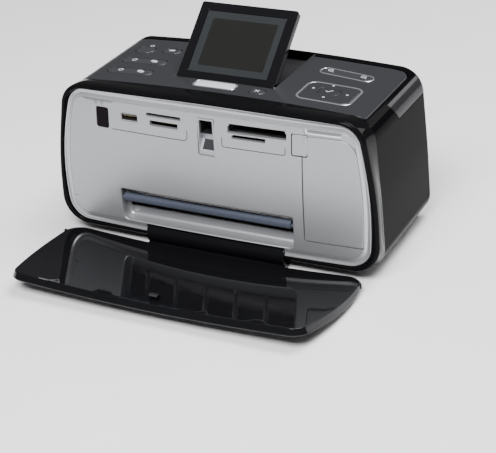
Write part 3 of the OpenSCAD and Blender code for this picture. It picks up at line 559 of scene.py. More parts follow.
def joined(name: str, parts: Sequence[Piece]) -> Piece:
    """Puts several objects' meshes into one object.

    Args:
        name: The new object's name.
        parts: The objects, which are removed.

    Returns:
        The new object.
    """
    bm = bmesh.new()
    for part in parts:
        bm.from_mesh(part.data)
        data = part.data
        bpy.data.objects.remove(part)
        bpy.data.meshes.remove(data)
    mesh = bpy.data.meshes.new(name)
    bm.to_mesh(mesh)
    bm.free()
    obj = bpy.data.objects.new(name, mesh)
    bpy.context.scene.collection.objects.link(obj)
    return obj


# ---- Finishes ---------------------------------------------------------------


class Grain(Enum):
    """The kinds of surface that a finish can have."""

    POLISHED = "polished"
    SATIN = "satin"
    SPARK = "spark"
    FLAKE = "flake"
    BRUSHED = "brushed"
    RUBBER = "rubber"
    BOARD = "board"


@dataclass(frozen=True)
class Finish:
    """One finish of the printer, made into a node material when first used."""

    name: str
    color: tuple[float, float, float]
    roughness: float
    grain: Grain = Grain.POLISHED
    metallic: float = 0.0
    coat: float = 0.0
    ior: float = 1.5
    specular: float = 0.5
    tint: float = 0.06
    wear: float = 0.05
    bump: float = 0.05
    scale: float = 900.0
    coat_roughness: float = 0.04
    cloud_scale: float = 14.0
    bump_depth: float = 0.0002

    def material(self) -> bpy.types.Material:
        """Returns the finish's material, made once."""
        found = bpy.data.materials.get(f"{self.name}_finish")
        return found or self._build()

    def _build(self) -> bpy.types.Material:
        """Builds the node tree.

        Returns:
            The material.
        """
        mat = bpy.data.materials.new(f"{self.name}_finish")
        mat.use_nodes = True
        tree = mat.node_tree
        shader = tree.nodes["Principled BSDF"]
        shader.inputs["Metallic"].default_value = self.metallic
        shader.inputs["IOR"].default_value = self.ior
        shader.inputs["Specular IOR Level"].default_value = self.specular
        shader.inputs["Coat Weight"].default_value = self.coat
        shader.inputs["Coat Roughness"].default_value = self.coat_roughness
        where = tree.nodes.new("ShaderNodeTexCoord").outputs["Object"]
        if self.grain is Grain.BRUSHED:
            where = self._stretched(tree, where)
        cloud = self._noise(tree, where, self.cloud_scale, 3.0)
        fine = self._noise(tree, where, self.scale, 2.0)
        self._paint(tree, shader, cloud, fine)
        self._polish(tree, shader, cloud, fine)
        self._relief(tree, shader, where, fine)
        return mat

    @staticmethod
    def _stretched(tree: bpy.types.NodeTree, where: Socket) -> Socket:
        """Draws the pattern out along X, as brushing does.

        Args:
            tree: The material's node tree.
            where: The place on the object.

        Returns:
            The drawn-out place.
        """
        mapping = tree.nodes.new("ShaderNodeMapping")
        mapping.inputs["Scale"].default_value = (0.06, 1.0, 1.0)
        tree.links.new(where, mapping.inputs["Vector"])
        return mapping.outputs["Vector"]

    @staticmethod
    def _noise(
        tree: bpy.types.NodeTree, where: Socket, scale: float, detail: float
    ) -> Socket:
        """Adds a noise texture and returns its value.

        Args:
            tree: The material's node tree.
            where: The place on the object.
            scale: How fine the noise is.
            detail: How many finer layers it has.

        Returns:
            The noise's value.
        """
        noise = tree.nodes.new("ShaderNodeTexNoise")
        noise.inputs["Scale"].default_value = scale
        noise.inputs["Detail"].default_value = detail
        tree.links.new(where, noise.inputs["Vector"])
        return noise.outputs["Fac"]

    def _paint(
        self, tree: bpy.types.NodeTree, shader: bpy.types.Node,
        cloud: Socket, fine: Socket,
    ) -> None:
        """Colours the surface, with slight variation.

        Args:
            tree: The material's node tree.
            shader: The shader.
            cloud: The broad noise.
            fine: The fine noise.
        """
        ramp = tree.nodes.new("ShaderNodeValToRGB")
        dark = [c * (1 - self.tint) for c in self.color]
        light = [min(1.0, c * (1 + self.tint)) for c in self.color]
        stops = ramp.color_ramp.elements
        for stop, position, color in zip(stops, NOISE_SPAN, (dark, light)):
            stop.position, stop.color = position, (*color, 1)
        source = fine if self.grain in (Grain.FLAKE, Grain.SPARK, Grain.BRUSHED) else cloud
        tree.links.new(source, ramp.inputs["Fac"])
        tree.links.new(ramp.outputs["Color"], shader.inputs["Base Color"])

    def _polish(
        self, tree: bpy.types.NodeTree, shader: bpy.types.Node,
        cloud: Socket, fine: Socket,
    ) -> None:
        """Sets the roughness, with handling marks and grain in it.

        Args:
            tree: The material's node tree.
            shader: The shader.
            cloud: The broad noise.
            fine: The fine noise.
        """
        spread = tree.nodes.new("ShaderNodeMapRange")
        spread.inputs["From Min"].default_value = NOISE_SPAN[0]
        spread.inputs["From Max"].default_value = NOISE_SPAN[1]
        spread.inputs["To Min"].default_value = max(0.01, self.roughness - self.wear)
        spread.inputs["To Max"].default_value = min(1.0, self.roughness + self.wear)
        source = fine if self.grain in (Grain.BRUSHED, Grain.FLAKE) else cloud
        tree.links.new(source, spread.inputs["Value"])
        tree.links.new(spread.outputs["Result"], shader.inputs["Roughness"])

    def _relief(
        self, tree: bpy.types.NodeTree, shader: bpy.types.Node,
        where: Socket, fine: Socket,
    ) -> None:
        """Gives the surface its moulded or brushed relief.

        Args:
            tree: The material's node tree.
            shader: The shader.
            where: The place on the object.
            fine: The fine noise.
        """
        if not self.bump:
            return
        height = fine
        if self.grain in (Grain.SPARK, Grain.RUBBER):
            cells = tree.nodes.new("ShaderNodeTexVoronoi")
            cells.inputs["Scale"].default_value = self.scale * 1.4
            tree.links.new(where, cells.inputs["Vector"])
            height = cells.outputs["Distance"]
        bump = tree.nodes.new("ShaderNodeBump")
        bump.inputs["Strength"].default_value = self.bump
        bump.inputs["Distance"].default_value = self.bump_depth
        tree.links.new(height, bump.inputs["Height"])
        tree.links.new(bump.outputs["Normal"], shader.inputs["Normal"])


BLACK_GLOSS = Finish(
    "piano_black", (0.006, 0.006, 0.007), 0.06, specular=0.14, wear=0.025, bump=0.012, scale=300
)
# Painted shade: a darker copy of the piano black with almost no specular, so the case's sides and
# base stay as dark as the shaded floor they reflect.
SHADED_SIDE_GLOSS = Finish(
    "case_black_painted_shade", (0.003, 0.003, 0.0035), 0.08, specular=0.01, wear=0.025, bump=0.012, scale=300
)
# Painted sheen: a lighter copy of the piano black, so the handle's band high on the side reads
# brighter, as if it reflected a lighter place.
SHEEN_HANDLE_GLOSS = Finish(
    "handle_black_painted_sheen", (0.02, 0.02, 0.022), 0.12, specular=0.1, wear=0.025, bump=0.012, scale=300
)
# Painted shade: a darker copy of the piano black with dimmed specular, so the frame's outer flank
# stays dark instead of reflecting the bright floor.
SHADED_FRAME_GLOSS = Finish(
    "frame_black_painted_shade", (0.004, 0.004, 0.0045), 0.06, specular=0.04, wear=0.025, bump=0.012, scale=300
)
TRAY_GLOSS = Finish(
    "tray_black", (0.005, 0.005, 0.006), 0.04, specular=0.3, wear=0.015, bump=0.008, scale=260
)
DECK_GREY = Finish(
    "deck_grey", (0.024, 0.0245, 0.027), 0.2, Grain.SPARK, specular=0.25, wear=0.04, bump=0.03,
    scale=2600,
)
SILVER = Finish(
    "satin_silver", (0.36, 0.365, 0.38), 0.38, Grain.FLAKE, metallic=0.6, wear=0.05, bump=0.03,
    scale=4200, tint=0.05,
)
BRIGHT_TRIM = Finish(
    "bright_bevel", (0.46, 0.465, 0.48), 0.3, Grain.FLAKE, metallic=0.6, wear=0.04, bump=0.02,
    scale=4200, tint=0.03,
)
INNER_BLACK = Finish("inner_black", (0.02, 0.02, 0.022), 0.5, Grain.SPARK, bump=0.12, scale=1500)
KEY_GREY = Finish(
    "key_grey", (0.03, 0.031, 0.035), 0.24, specular=0.35, wear=0.04, bump=0.02, scale=1200
)
KEY_WHITE = Finish(
    "key_white", (0.52, 0.535, 0.575), 0.25, coat=0.3, wear=0.03, bump=0.02, scale=1200, tint=0.02
)
RIM_SILVER = Finish("rim_silver", (0.6, 0.61, 0.64), 0.22, metallic=0.85, wear=0.05, bump=0.02)
BAR_BLUE = Finish("bar_blue_grey", (0.06, 0.068, 0.095), 0.2, specular=0.4, wear=0.04, bump=0.02)
SMOKE = Finish("smoked_window", (0.006, 0.004, 0.006), 0.08, specular=0.04, wear=0.02, bump=0.0)
SCREEN_COVER = Finish(
    "screen_cover", (0.022, 0.024, 0.026), 0.08, specular=0.4, wear=0.02, bump=0.0
)
PICTURE_PANEL = Finish(
    "picture_panel", (0.012, 0.0125, 0.0115), 0.12, specular=0.4, wear=0.02, bump=0.0
)
MARK_WHITE = Finish("mark_white", (0.42, 0.43, 0.46), 0.45, bump=0.0, tint=0.02)
STEEL = Finish(
    "turned_steel", (0.56, 0.57, 0.58), 0.25, Grain.BRUSHED, metallic=1.0, wear=0.08, bump=0.05,
    scale=2200,
)
PLATED = Finish(
    "plated_sheet", (0.5, 0.5, 0.51), 0.36, Grain.BRUSHED, metallic=1.0, wear=0.1, bump=0.05,
    scale=1300,
)
BRASS = Finish("brass", (0.6, 0.44, 0.18), 0.3, Grain.BRUSHED, metallic=1.0, wear=0.08)
GILT = Finish("gilt_contact", (0.75, 0.55, 0.2), 0.25, metallic=1.0, wear=0.05)
NYLON = Finish("white_moulding", (0.72, 0.71, 0.67), 0.42, Grain.SPARK, bump=0.05, scale=1500)
RUBBER = Finish("black_rubber", (0.02, 0.02, 0.02), 0.75, Grain.RUBBER, bump=0.25, scale=1400)
ROLLER = Finish("roller_rubber", (0.05, 0.05, 0.05), 0.6, Grain.RUBBER, bump=0.3, scale=2400)
BOARD = Finish(
    "circuit_board", (0.02, 0.11, 0.05), 0.35, Grain.BOARD, coat=0.3, tint=0.25, bump=0.1, scale=500
)
SLOT_BLACK = Finish("slot_black", (0.012, 0.013, 0.013), 0.4, Grain.SPARK, bump=0.05, scale=1500)
FLOOR = Finish(
    "pale_floor", (0.86, 0.86, 0.87), 0.65, Grain.SATIN, wear=0.04, bump=0.02, scale=60, tint=0.01
)


def dress(
    obj: Piece, finish: Finish, body: str, slot: str, *nodes: str, even: bool = True
) -> Piece:
    """Finishes a piece: its shading, material, body and the nodes it replaces.

    Args:
        obj: The piece.
        finish: Its finish.
        body: The body that it rides on.
        slot: The record's material slot; not used.
        nodes: CAD nodes that it stands for.
        even: Whether large faces keep flat shading next to rounded edges.

    Returns:
        The piece.
    """
    obj.data.materials.clear()
    obj.data.materials.append(finish.material())
    obj.data.shade_smooth()
    obj.data.set_sharp_from_angle(angle=SMOOTH_ANGLE)
    if even:
        mod = obj.modifiers.new("even_shading", "WEIGHTED_NORMAL")
        mod.keep_sharp = True
    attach(obj, body)
    if nodes:
        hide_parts(*nodes)
    LOG.info("%s: %d faces on %s", obj.name, len(obj.data.polygons), body)
    return obj


# ---- Shared shapes of the printer -------------------------------------------


@dataclass(frozen=True)
class Outline:
    """A sharp-cornered outline and the radii that round it."""

    corners: tuple[tuple[float, float], ...]
    radii: tuple[float, ...]

    def at(self, inset: float = 0.0) -> Loop:
        """Returns the rounded outline, moved inwards by inset."""
        return rounded(self.corners, self.radii, inset)


@dataclass
class CaseShape:
    """The case's outlines (x, z) and its crowned surfaces."""

    y_seam: float = -38.0
    y_back: float = 58.0
    wall: float = 2.5
    back_radius: float = 8.0
    base_z: float = 5.0
    seam_z: float = 19.0
    crest_z: float = 116.9
    deck_radius: float = 1760.0
    slope: float = 0.0455
    top_half: float = 113.6
    face_y: float = -57.9
    crown_x: float = 3.0
    crown_z: float = 2.4
    face_mid_z: float = 50.0
    handle_low: float = 97.0
    handle_high: float = 109.0
    handle_front: float = -4.2
    tray_hinge: tuple[float, float] = (-50.4, 9.7)
    shoulder_z: float = 95.0
    neck: tuple[float, float] = (-52.0, 54.0)
    neck_top: float = 17.3
    screen_hinge: tuple[float, float] = (-15.6, 114.9)
    pin_bore: float = 1.3
    frame: Outline = Outline(
        (
            (-122.4, 7.6), (122.4, 7.6), (121.4, 58), (111.6, 116.4), (0, 118), (-111.6, 116.4),
            (-121.4, 58),
        ),
        (20, 20, 300, 19, 1600, 19, 300),
    )
    face_edge: Outline = Outline(
        (
            (-115.1, 11.5), (115.1, 11.5), (118.6, 61), (106.8, 112.6), (0, 114.9),
            (-106.8, 112.6), (-118.6, 61),
        ),
        (16, 16, 235, 15, 1500, 15, 235),
    )
    plate_edge: Outline = Outline(
        (
            (-110.6, 17.2), (110.6, 17.2), (113.4, 61), (104.7, 107), (0, 108.2), (-104.7, 107),
            (-113.4, 61),
        ),
        (11, 11, 235, 10, 1500, 10, 235),
    )
    tray_edge: Outline = Outline(
        (
            (-112.6, 16), (112.6, 16), (116.2, 61), (105.6, 107), (0, 107.5), (-105.6, 107),
            (-116.2, 61),
        ),
        (13, 13, 235, 10, 1500, 10, 235),
    )

    def case(self, inset: float = 0.0) -> Loop:
        """Returns the case's section (x, z).

        Args:
            inset: How far it moves inwards.

        Returns:
            The section.
        """
        peak = self.crest_z + self.deck_radius * self.slope**2 / 2
        shoulder = peak - self.slope * self.top_half
        corners = [
            (-120.8, self.base_z), (120.8, self.base_z), (118.2, 56), (self.top_half, shoulder),
            (0, peak), (-self.top_half, shoulder), (-118.2, 56),
        ]
        return rounded(corners, [14, 14, 700, 18, self.deck_radius, 18, 700], inset)

    def crown(self, x: float, z: float) -> float:
        """Returns how far the face lies behind its foremost point."""
        return self.crown_x * (x / 100) ** 2 + self.crown_z * ((z - self.face_mid_z) / 50) ** 2

    def on_face(self, x: float, z: float, w: float) -> Point:
        """Places a point at depth w behind the face."""
        return (x, self.face_y + self.crown(x, z) + w, z)

    @cached_property
    def shoulders(self) -> np.ndarray:
        """The points (x, z) of the case's section from shoulder to shoulder."""
        return np.array(sorted((x, z) for x, z in self.case() if z > self.shoulder_z))

    def top(self, x: float) -> float:
        """Returns the height of the case's top at x, its shoulders included."""
        return float(np.interp(x, self.shoulders[:, 0], self.shoulders[:, 1]))

    def on_deck(self, x: float, y: float, w: float) -> Point:
        """Places a point at depth w below the deck."""
        return (x, y, self.top(x) - w)

    def loaf(self, name: str, inset: float, y0: float, y1: float, radius: float) -> Piece:
        """Makes the case's solid between two planes, with a rounded rear edge.

        Args:
            name: The piece's name.
            inset: How far the section moves inwards.
            y0: The front plane.
            y1: The rear plane.
            radius: The rear edge's rounding.

        Returns:
            The solid.
        """
        turns = [math.radians(a) for a in range(0, 91, 10)]
        ends = [(y1 - radius + radius * math.sin(a), radius * (1 - math.cos(a))) for a in turns]
        stops = [(y0, 0.0)] + ends
        rings = [[(x, y, z) for x, z in self.case(inset + d)] for y, d in stops]
        return loft(name, rings)

    def neck_cut(self, gap: float) -> Piece:
        """Makes the cutter for the tray's neck.

        Args:
            gap: The space left round the neck.

        Returns:
            The cutter.
        """
        left, right = self.neck[0] - gap, self.neck[1] + gap
        back, top = self.y_seam - 2, self.neck_top + gap
        return block("neck_cut", (left, -72, -3), (right, back, top))


SHAPE = CaseShape()


# ---- Small helpers for pieces -------------------------------------------------


def ribbon(points: Path, width: float) -> Loop:
    """Returns the outline of a line of the given width along an open path.

    Args:
        points: The path's points.
        width: The line's width.

    Returns:
        The outline.
    """
    p = np.array(points, float)
    ahead = np.diff(p, axis=0)
    ahead /= np.linalg.norm(ahead, axis=1, keepdims=True)
    normal = np.stack([-ahead[:, 1], ahead[:, 0]], 1)
    sides = np.vstack([normal[:1], normal[:-1] + normal[1:], normal[-1:]])
    sides /= np.maximum((sides * np.vstack([normal[:1], normal])).sum(1, keepdims=True), 0.5)
    left, right = p + sides * width / 2, p - sides * width / 2
    return [tuple(q) for q in right] + [tuple(q) for q in left[::-1]]


def arc(x: float, y: float, r: float, start: float, end: float, n: int = 20) -> Loop:
    """Returns the points of an arc between two angles in degrees."""
    turns = [math.radians(start + (end - start) * k / n) for k in range(n + 1)]
    return [(x + r * math.cos(a), y + r * math.sin(a)) for a in turns]


def ring(
    name: str, loop: Loop, place: Place, profile: Sequence[tuple[float, float]]
) -> Piece:
    """Makes a closed ring along a loop.

    Args:
        name: The piece's name.
        loop: The loop that the ring follows.
        place: Turns (u, v, depth) into a point.
        profile: The ring's section, as (inset from the loop, depth).

    Returns:
        The object.
    """
    rings = [[place(u, v, w) for u, v in shifted(loop, d)] for d, w in profile]
    return loft(name, rings, closed=True)


def bar_tree() -> bpy.types.NodeTree:
    """Builds the Geometry Nodes tree that sets equal bars along a line.

    Returns:
        The tree, with the inputs Count, Start, Step, Size and Finish.
    """
    found = bpy.data.node_groups.get("row_of_bars")
    if found:
        return found
    tree = bpy.data.node_groups.new("row_of_bars", "GeometryNodeTree")
    sockets = (
        ("Count", "NodeSocketInt"), ("Start", "NodeSocketVector"), ("Step", "NodeSocketVector"),
        ("Size", "NodeSocketVector"), ("Finish", "NodeSocketMaterial"),
    )
    for label, kind in sockets:
        tree.interface.new_socket(label, in_out="INPUT", socket_type=kind)
    tree.interface.new_socket("Bars", in_out="OUTPUT", socket_type="NodeSocketGeometry")
    given = tree.nodes.new("NodeGroupInput")
    result = tree.nodes.new("NodeGroupOutput")
    line = tree.nodes.new("GeometryNodeMeshLine")
    line.mode = "OFFSET"
    bar = tree.nodes.new("GeometryNodeMeshCube")
    placed = tree.nodes.new("GeometryNodeInstanceOnPoints")
    real = tree.nodes.new("GeometryNodeRealizeInstances")
    painted = tree.nodes.new("GeometryNodeSetMaterial")
    links = (
        (given.outputs["Count"], line.inputs["Count"]),
        (given.outputs["Start"], line.inputs["Start Location"]),
        (given.outputs["Step"], line.inputs["Offset"]),
        (given.outputs["Size"], bar.inputs["Size"]),
        (line.outputs["Mesh"], placed.inputs["Points"]),
        (bar.outputs["Mesh"], placed.inputs["Instance"]),
        (placed.outputs["Instances"], real.inputs["Geometry"]),
        (real.outputs["Geometry"], painted.inputs["Geometry"]),
        (given.outputs["Finish"], painted.inputs["Material"]),
        (painted.outputs["Geometry"], result.inputs["Bars"]),
    )
    for source, target in links:
        tree.links.new(source, target)
    return tree


@dataclass(frozen=True)
class BarRow:
    """A row of equal bars, such as contacts or grip ribs, in millimetres."""

    name: str
    count: int
    start: Point
    step: Point
    size: Point
    edge: float = 0.0

    def build(self, finish: Finish, body: str, slot: str) -> None:
        """Builds the bars as one plain mesh and dresses them.

        Args:
            finish: The bars' finish.
            body: The body that they ride on.
            slot: The record's material slot.
        """
        obj = new_object(self.name, [], [])
        mod = obj.modifiers.new("bars", "NODES")
        tree = bar_tree()
        mod.node_group = tree
        names = {i.name: i.identifier for i in tree.interface.items_tree if i.in_out == "INPUT"}
        mod[names["Count"]] = self.count
        for label, way in (("Start", self.start), ("Step", self.step), ("Size", self.size)):
            mod[names[label]] = [v * MM for v in way]
        mod[names["Finish"]] = finish.material()
        graph = bpy.context.evaluated_depsgraph_get()
        mesh = bpy.data.meshes.new_from_object(obj.evaluated_get(graph))
        obj.modifiers.remove(mod)
        obj.data = mesh
        if self.edge:
            soften(obj, self.edge, 2)
        dress(obj, finish, body, slot)


# ---- Case ---------------------------------------------------------------------


@dataclass
class CaseBody:
    """The glossy case: shell, base, carry handle, feet, rear paper tray and sockets."""

    gap: float = 0.3
    handle_gap: float = 0.6
    handle_wall: float = 5.0
    deck_half: float = 107.3
    deck_back: float = 45.0
    rear_half: float = 70.0
    rear_low: float = 27.0
    rear_high: float = 93.0
    feet: tuple[tuple[float, float], ...] = ((-92, -30), (92, -30), (-92, 44), (92, 44), (0, 0))
    foot_profile: tuple[tuple[float, float], ...] = (
        (7.0, 5.0), (7.0, 1.2), (6.65, 0.45), (6.0, 0.1), (4.8, 0.0), (4.0, 0.25), (2.8, 0.3),
    )
    rear_hinge: tuple[float, float] = (56.8, 29.6)
    jack: tuple[float, float] = (90, 52)
    jack_bore: float = 3.2
    grip_ribs: BarRow = BarRow(
        "rear_grip_ribs", 4, (0, 56.6, 86.2), (0, 0, 1.6), (30, 0.7, 0.7), 0.2
    )
    usb_hole: Outline = Outline(
        ((85, 31), (95.5, 31), (95.5, 39.4), (93.7, 41.1), (86.8, 41.1), (85, 39.4)), (0.5,) * 6
    )
    screws: tuple[tuple[float, float], ...] = ((-104, 50.5), (104, 50.5))

    def build(self) -> None:
        """Builds every piece of the case."""
        self.shell()
        self.base()
        self.handle()
        self.rubber_feet()
        self.rear_tray()
        self.sockets()

    @staticmethod
    def arm(name: str, g: float) -> Piece:
        """Makes the handle's side view as a prism, larger by g.

        Args:
            name: The prism's name.
            g: How much larger it is all round.

        Returns:
            The prism.
        """
        s = SHAPE
        low, high, front = s.handle_low - g, s.handle_high + g, s.handle_front - g
        middle = (s.handle_low + s.handle_high) / 2
        loop = [(front + 8, low), (75, low), (75, high), (front, high), (front + 3.4, middle)]
        return prism(name, loop, Axis.X, -ASIDE, ASIDE)

    def shell(self) -> None:
        """Builds the shell above the seam, with its slot for the handle."""
        s = SHAPE
        half = self.rear_half
        low = s.loaf("space_low", s.wall, -44, s.y_back - s.wall, 5.5)
        carve(low, [block("lid", (-ASIDE, AHEAD, s.handle_low - 2.4), (ASIDE, BEHIND, ABOVE))])
        high = block("space_high", (-102, -44, s.handle_low - 3), (102, 50, 111))
        inset = self.handle_wall + self.gap
        core = s.loaf("core", inset, -60, s.y_back - inset, 3)
        slot = carve(self.arm("slot", self.handle_gap), [core])
        middle, length = (s.y_seam + self.deck_back) / 2, self.deck_back - s.y_seam
        plan = pill(0, middle, 2 * self.deck_half + 0.8, length + 0.8, 5.4)
        cutters = [
            low, high, slot,
            prism("deck_space", plan, Axis.Z, 108.6, OVER_DECK),
            block("under_deck", (-100, -44, 108), (100, 42, OVER_DECK)),
            block("well_space", (-42.9, -20.8, 108.8), (35.9, 50.1, OVER_DECK)),
            block("rear_space", (-half, 40, self.rear_low), (half, 70, self.rear_high)),
            block("usb_space", (84, 50, 30), (96.5, 70, 42)),
            prism("jack_space", circle(*self.jack, 5), Axis.Y, 50, 70),
            block("below", (-ASIDE, AHEAD, -1), (ASIDE, BEHIND, s.seam_z + 0.15)),
        ]
        shell = carve(s.loaf("case_shell", 0, s.y_seam + 0.3, s.y_back, s.back_radius), cutters)
        # Painted shade: the shell gets the darker, almost specular-free copy of the piano black.
        dress(shell, SHADED_SIDE_GLOSS, "case", "black_gloss", "main_shell")

    def base(self) -> None:
        """Builds the base below the seam, with its screw wells."""
        s = SHAPE
        cutters = [
            block("above", (-ASIDE, AHEAD, s.seam_z - 0.15), (ASIDE, BEHIND, ABOVE)),
            block("tub", (-114, s.y_seam + 2.5, s.base_z + s.wall), (114, s.y_back - s.wall, 40)),
            s.neck_cut(0.6),
        ]
        cutters += [prism("well", circle(x, y, 3.2), Axis.Z, 4, 7) for x, y in self.screws]
        base = carve(s.loaf("case_base", 0, s.y_seam + 0.3, s.y_back, s.back_radius), cutters)
        # Painted shade: the base gets the same darker copy of the piano black.
        dress(base, SHADED_SIDE_GLOSS, "case", "black_gloss", "base_pan")

    def handle(self) -> None:
        """Builds the carry handle that lies flush round the case's shoulder."""
        s = SHAPE
        grip = s.loaf("handle_bow", 0, -20, s.y_back, s.back_radius)
        carve(grip, [self.arm("arm", 0.0)], Cut.KEEP)
        carve(grip, [s.loaf("hollow", self.handle_wall, -30, s.y_back - self.handle_wall, 3)])
        # Painted sheen: the handle gets the lighter copy of the piano black.
        dress(grip, SHEEN_HANDLE_GLOSS, "carry_handle", "black_gloss", "carry_handle")

    def rubber_feet(self) -> None:
        """Builds the five feet, each a domed rubber pad in a raised ring."""
        parts = []
        for x, y in self.feet:
            rings = [[(*p, z) for p in circle(x, y, r, 40)] for r, z in self.foot_profile]
            parts.append(loft("foot", rings))
        dress(joined("rubber_foot_pads", parts), RUBBER, "case", "rubber_black", "rubber_feet")

    def rear_tray(self) -> None:
        """Builds the rear paper tray with its grip and side guide."""
        s = SHAPE
        y1 = s.y_back - 0.2
        leaf = block("rear_leaf", (-69.5, y1 - 2.8, 28.2), (69.5, y1, 92.5), 0.9)
        grip = prism("grip", pill(0, 90.5, 40, 12, 3), Axis.Y, y1 - 1.3, y1 + 3, 0.5)
        slot = block("guide_slot", (-40, y1 - 4, 46), (60, y1 - 2.0, 50))
        carve(leaf, [grip, slot])
        parts = [leaf, block("side_guide", (-66.5, 50.6, 36), (-64.5, y1 - 2.4, 89), 0.6)]
        for x in (-72, 69):
            parts.append(prism("knuckle", circle(*self.rear_hinge, 0.9, 24), Axis.X, x, x + 3, 0.2))
        tray = joined("rear_paper_tray", parts)
        dress(tray, BLACK_GLOSS, "input_tray", "black_gloss", "input_tray")
        self.grip_ribs.build(BLACK_GLOSS, "input_tray", "black_gloss")
        guide = [
            block("blade", (56, 48.6, 42), (58.4, y1 - 3, 84), 0.7),
            block("shoe", (50, y1 - 3.8, 44), (58.4, y1 - 3.0, 52), 0.25),
            block("key", (52, y1 - 3.6, 46.4), (57, y1 - 2.3, 49.6), 0.2),
        ]
        blade = joined("paper_width_guide", guide)
        dress(blade, NYLON, "width_guide", "white_nylon", "width_guide")

    def sockets(self) -> None:
        """Builds the rear USB socket and the power jack."""
        y1 = SHAPE.y_back - 0.4
        can = block("rear_usb_can", (84.2, 42, 30.2), (96.3, y1, 41.8), 0.5)
        carve(can, [prism("hole", self.usb_hole.at(), Axis.Y, 44.5, 70)])
        dress(can, PLATED, "case", "steel", "rear_ports")
        tongue = block("rear_usb_tongue", (87.2, 44, 34.6), (93.3, y1 - 2, 37.8), 0.35)
        dress(tongue, NYLON, "case", "white_nylon", "rear_ports")
        jack = prism("power_jack", circle(*self.jack, 4.9, 40), Axis.Y, 42, y1, 0.4)
        carve(jack, [prism("bore", circle(*self.jack, self.jack_bore, 40), Axis.Y, 45, 70)])
        dress(jack, INNER_BLACK, "case", "black_inner", "rear_ports")
        pin = prism("power_pin", circle(*self.jack, 1.0, 24), Axis.Y, 44, y1 - 1.6, 0.4)
        dress(pin, STEEL, "case", "steel", "rear_ports")


# ---- Front --------------------------------------------------------------------


